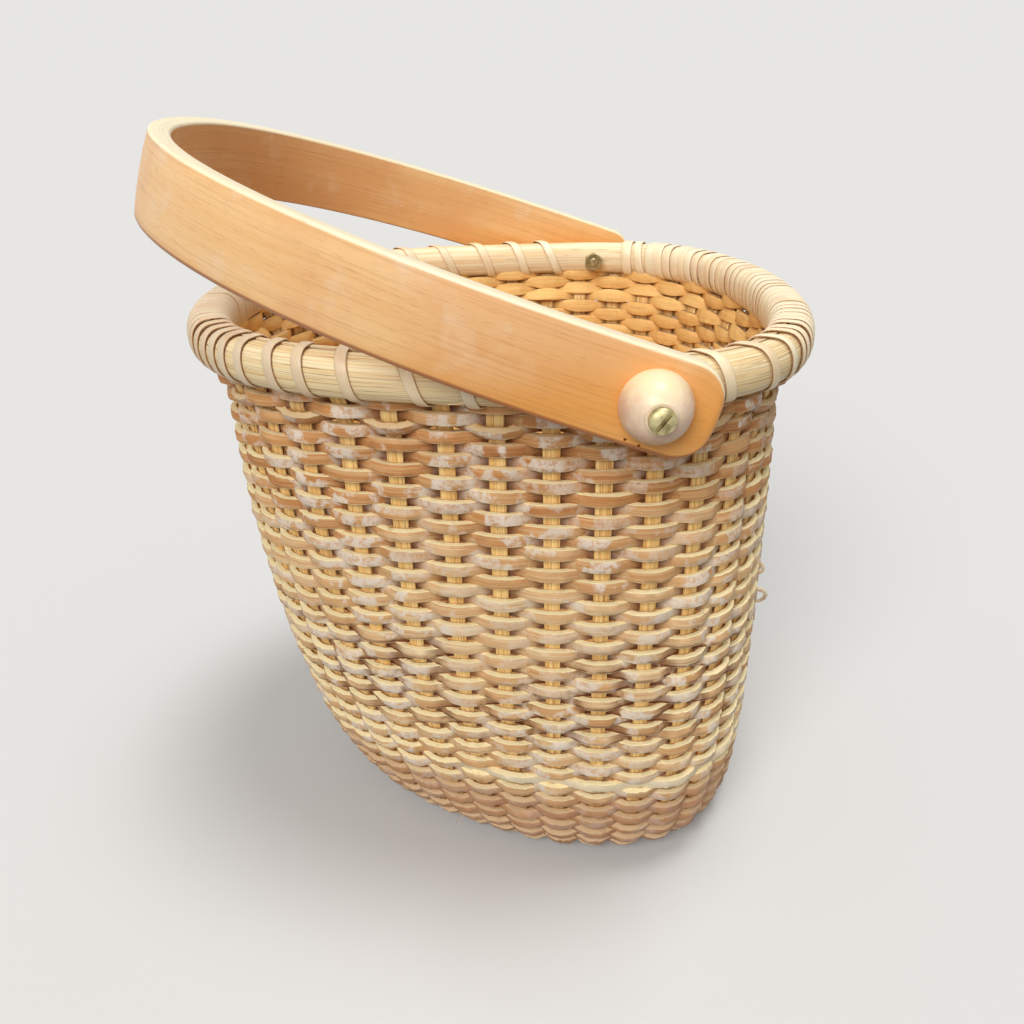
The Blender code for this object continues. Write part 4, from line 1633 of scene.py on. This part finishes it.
@dataclass
class Pivot:
    """A knob, its slotted screw and its nut at one end of the pivot axis."""

    form: BasketForm
    side: Side
    knob_radius: float = 0.00772
    foot_radius: float = 0.0071
    foot_lift: float = 0.0003
    widest_share: float = 0.14
    shank_radius: float = 0.0015
    bore_radius: float = 0.0018
    head_radius: float = 0.0028
    head_height: float = 0.0021
    slot_width: float = 0.0009
    slot_depth: float = 0.0011
    slot_angle: float = math.radians(52)
    thread_pitch: float = 0.0005
    thread_depth: float = 0.00022
    nut_flats: float = 0.0055
    nut_chamfer: float = 0.0004
    overlap: float = 0.00001

    def span(self, node: str) -> tuple[float, float]:
        """How far from the middle plane a node starts and ends."""
        low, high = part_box(f"{node}_{self.word}")
        return tuple(sorted((self.side.value * low.y, self.side.value * high.y)))

    @property
    def word(self) -> str:
        """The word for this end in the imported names."""
        return self.side.name.lower()

    def add(self, node: str, form: str, mesh: Mesh, material: Material, slot: Slot) -> None:
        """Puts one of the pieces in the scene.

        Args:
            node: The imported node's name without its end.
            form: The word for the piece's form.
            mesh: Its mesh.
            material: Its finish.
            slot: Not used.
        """
        name = f"{node}_{self.word}"
        add_piece(f"{name}_{form}", mesh, material, [name])

    def build_knob(self, finish: IvoryFinish) -> None:
        """Makes the domed knob.

        Args:
            finish: The knob's finish.
        """
        start, end = self.span("knob")
        height = end - start
        top_radius = self.head_radius + 0.0004
        foot, lift = self.foot_radius, self.foot_lift
        widest = height * self.widest_share
        profile = [(self.bore_radius, 0.0), (foot - 0.0004, 0.0), (foot, lift)]
        for step in range(1, 9):
            share = step / 8
            reach = foot + (self.knob_radius - foot) * math.sin(math.pi / 2 * share)
            profile.append((reach, lift + (widest - lift) * share))
        for step in range(1, 19):
            turn = math.pi / 2 * step / 18
            reach = self.knob_radius * math.cos(turn) ** 0.94
            if reach <= top_radius:
                break
            profile.append((reach, widest + (height - widest) * math.sin(turn)))
        profile += [(top_radius, height), (self.bore_radius, height)]
        mesh = turned(profile, self.form.pivot(self.side, start), 72)
        self.add("knob", "dome", mesh, finish.material(), Slot.KNOB)

    def build_screw(self, finish: BrassFinish) -> None:
        """Makes the slotted screw, threaded at its end.

        Args:
            finish: The brass's finish.
        """
        start, end = self.span("screw")
        length = end - start
        under = length - self.head_height
        shank, head = self.shank_radius, self.head_radius
        profile = [(0.0, 0.0), (shank - 0.0003, 0.0)]
        place = 0.00015
        while place < self.span("nut")[0] - start + 0.0035:
            profile.append((shank - self.thread_depth, place))
            profile.append((shank, place + self.thread_pitch / 2))
            place += self.thread_pitch
        profile += [(shank, place + 0.0004), (shank, under)]
        profile += [(head - 0.0002, under), (head, under + 0.0003)]
        for step in range(9):
            turn = math.pi / 2 * step / 8
            height = under + self.head_height * 0.45 + self.head_height * 0.55 * math.sin(turn)
            profile.append((head * math.cos(turn) ** 0.8, height))
        profile[-1] = (0.0, length)
        axis = self.form.pivot(self.side, start)
        bm = bmesh.new()
        bmesh.ops.create_cube(bm, size=1)
        size = Vector((4 * head, self.slot_width, 2 * self.slot_depth))
        bmesh.ops.scale(bm, vec=size, verts=bm.verts)
        tilt = Matrix.Rotation(self.slot_angle, 4, "Z")
        top = axis @ Matrix.Translation((0, 0, length)) @ tilt
        bmesh.ops.transform(bm, matrix=top, verts=bm.verts)
        mesh = carve(turned(profile, axis, 48), [settle(bm)])
        self.add("screw", "slotted", mesh, finish.material(), Slot.BRASS)

    def build_nut(self, finish: BrassFinish) -> None:
        """Makes the hex nut with its corners turned down.

        Args:
            finish: The brass's finish.
        """
        start, end = self.span("nut")
        height = end - start
        corner = self.nut_flats / 2 / math.cos(math.pi / 6)
        axis = self.form.pivot(self.side, start)
        bore, low, wide = self.shank_radius + 0.00002, corner - self.nut_chamfer, corner + 0.0002
        profile = [
            (bore, -self.overlap),
            (low, -self.overlap),
            (wide, self.nut_chamfer),
            (wide, height - self.nut_chamfer),
            (low, height + self.overlap),
            (bore, height + self.overlap),
        ]
        mesh = carve(rod(corner, 0, height, axis, 6), [turned(profile, axis, 48)], "INTERSECT")
        self.add("nut", "hex", mesh, finish.material(), Slot.BRASS)


@dataclass
class LooseFibres:
    """A few fine hairs of cane that have split off the weave.

    Each has its share round the basket, its share of the height, its radius, and points as
    (along, up, out) from there in millimetres.
    """

    form: BasketForm
    hairs: tuple[tuple[float, float, float, tuple[Spot, ...]], ...] = (
        (
            0.845, 0.60, 0.00012,
            ((0, 0, 2.1), (-1, 2, 3.2), (-3.5, 3.5, 3.4), (-5, 1.5, 3), (-4, -1.5, 2.6), (-1.5, -2.5, 2.5)),
        ),
        (0.69, 0.055, 0.00013, ((0, 0, 2), (-1.5, -1, 3.6), (-3, -2.6, 4.6), (-3.2, -4.4, 4.4))),
        (0.86, 0.93, 0.00012, ((0, 0, 2), (1.5, 1.2, 3.4), (3.6, 1.6, 3.8))),
        (
            0.932, 0.550, 0.0007,
            ((0, 0, 0.4), (0.6, 0.2, 2.6), (1.2, 1, 3.8), (1.6, 2.6, 3.2), (1.8, 3.4, 0.8)),
        ),
        (
            0.930, 0.500, 0.0008,
            ((0, 2.2, 0.4), (0.8, 2.4, 3.2), (1.6, 0.8, 5.2), (1.8, -1.4, 4.8), (1.6, -3.2, 0.8)),
        ),
    )

    def hair(self, share: float, rise: float, radius: float, offsets: tuple[Spot, ...]) -> Array:
        """A hair's rings.

        Args:
            share: Where it leaves the weave, round the basket.
            rise: Its share of the height.
            radius: Its radius where it starts.
            offsets: Points as (along, up, out) from there, in millimetres.

        Returns:
            The rings of points.
        """
        point, along, up, outward = self.form.frames(np.array([share]), np.array([rise]))
        marks = np.array(offsets) / 1000
        spots = np.linspace(0, len(marks) - 1, 8 * len(marks))
        smooth_line = resample(spots, np.arange(len(marks)), marks)
        ends = [[smooth_line[end]] * 4 for end in (0, -1)]
        smooth_line = soften(np.vstack([ends[0], smooth_line, ends[1]]), 9)
        x, y, z = (smooth_line[:, axis : axis + 1] for axis in range(3))
        path = point + x * along + y * up + z * outward
        tangent = headings(path)
        side = unit(np.cross(tangent, np.array([0.13, 0.31, 0.94])))
        other = np.cross(tangent, side)
        turn = np.linspace(0, 2 * math.pi, 6)[:-1]
        slim = (radius * np.linspace(1.0, 0.5, len(path)))[:, None, None]
        return path[:, None] + slim * (
            np.cos(turn)[None, :, None] * side[:, None]
            + np.sin(turn)[None, :, None] * other[:, None]
        )

    def build(self, material: Material) -> None:
        """Makes the hairs as one piece.

        Args:
            material: The weave's finish.
        """
        marks = {"tone": 0.7, "fresh": 0.5, "depth": 0.0, "dust": 0.6}
        around = np.linspace(-0.0005, 0.0005, 6)
        bm = bmesh.new()
        bm.loops.layers.uv.new("lay")
        for hair in self.hairs:
            rings = self.hair(*hair)
            mesh = Sweep(rings, around, np.linspace(0, 0.02, len(rings)), marks).mesh()
            bm.from_mesh(mesh)
            bpy.data.meshes.remove(mesh)
        joined = settle(bm)
        joined.shade_smooth()
        add_piece("loose_fibres", joined, material, [])


# Studio


@dataclass
class Studio:
    """The camera, the pale floor and the soft lights."""

    lens: float = 34.395
    camera_place: Spot = (-0.00803, -0.28207, 0.21078)
    camera_turn: Spot = (math.radians(65.905), 0.01294, -0.00016)
    pale: Colour = (0.712, 0.705, 0.691)
    bounce: Colour = (0.22, 0.215, 0.21)
    sky: Colour = (1.0, 0.99, 0.97)
    floor_half: float = 40.0

    def camera(self) -> None:
        """The photograph's viewpoint."""
        data = bpy.data.cameras.new("view")
        data.lens = self.lens
        data.sensor_width = 36
        data.clip_start = 0.01
        made = link("view", data)
        made.location = self.camera_place
        made.rotation_euler = self.camera_turn
        bpy.context.scene.camera = made

    def floor(self) -> None:
        """A wide pale floor."""
        bm = bmesh.new()
        bmesh.ops.create_grid(bm, x_segments=1, y_segments=1, size=self.floor_half)
        mesh = settle(bm)
        tree = new_tree("pale_floor")
        shade = tree.coats(self.bounce, (tree.seen(), self.pale))
        mesh.materials.append(tree.finish(shade, 0.9, Specular_IOR_Level=0.0))
        link("floor", mesh)

    def lamp(self, name: str, towards: Spot, spread: float, strength: float) -> None:
        """A far soft light that falls evenly.

        Args:
            name: Its name.
            towards: The direction from the basket to the light.
            spread: The light's apparent width, in degrees.
            strength: Its strength.
        """
        data = bpy.data.lights.new(name, "SUN")
        data.angle = math.radians(spread)
        data.energy = strength
        made = link(name, data)
        made.rotation_euler = Vector(towards).to_track_quat("Z", "Y").to_euler()

    def world(self, strength: float, shown: float) -> None:
        """An even pale surround.

        Args:
            strength: How much light it gives.
            shown: How bright the camera and mirrors see it.
        """
        world = bpy.data.worlds.new("surround")
        bpy.context.scene.world = world
        tree = Tree(world, "Background")
        tree.feed(tree.inputs["Color"], self.sky)
        levels = {"Value": tree.seen(), "To Min": strength, "To Max": shown}
        tree.feed(tree.inputs["Strength"], tree.node("ShaderNodeMapRange", levels))

    def build(self) -> None:
        """Sets the whole studio up."""
        bpy.context.scene.view_settings.view_transform = "Standard"
        self.camera()
        self.floor()
        self.lamp("overhead", (0.15, -0.05, 1.0), 22, 1.4)
        self.lamp("front", (-0.35, -1.0, 0.75), 34, 2.05)
        self.world(0.31, 0.80)


def corners(box: tuple[Vector, Vector]) -> list[list[float]]:
    """A box's two corners as plain lists."""
    return [list(corner) for corner in box]


def main() -> None:
    """Builds the pieces in order."""
    logging.basicConfig(level=logging.INFO, format="%(message)s")
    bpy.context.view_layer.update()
    form = BasketForm()
    Studio().build()
    Weave(form).build(CaneFinish())
    stave_colours = (paint(236, 184, 108), paint(252, 216, 146), paint(166, 110, 54))
    Staves(form).build(ReedFinish("stave_reed_finish", *stave_colours, 2900.0, 0.55))
    BaseBoard().build(BoardFinish())
    pivots = [Pivot(form, side) for side in Side]
    bore = pivots[0].bore_radius
    outer_colours = (paint(244, 212, 154), paint(254, 234, 188), paint(170, 118, 66))
    outer = ReedFinish("outer_rim_finish", *outer_colours, 3600.0, 0.5)
    RimHoop(form, True, -0.0328).build(outer, bore)
    inner_colours = (paint(250, 218, 168), paint(255, 238, 198), paint(200, 146, 92))
    inner = ReedFinish("inner_rim_finish", *inner_colours, 2400.0, 0.3)
    RimHoop(form, False, -0.0598).build(inner, bore)
    RimLashing(form).build(LashingFinish())
    SwingHandle(form).build(HandleFinish(), bore)
    for pivot in pivots:
        pivot.build_knob(IvoryFinish())
        pivot.build_screw(BrassFinish())
        pivot.build_nut(BrassFinish())
    LooseFibres(form).build(bpy.data.materials["weaver_cane_finish"])


if __name__ == "__main__":
    main()
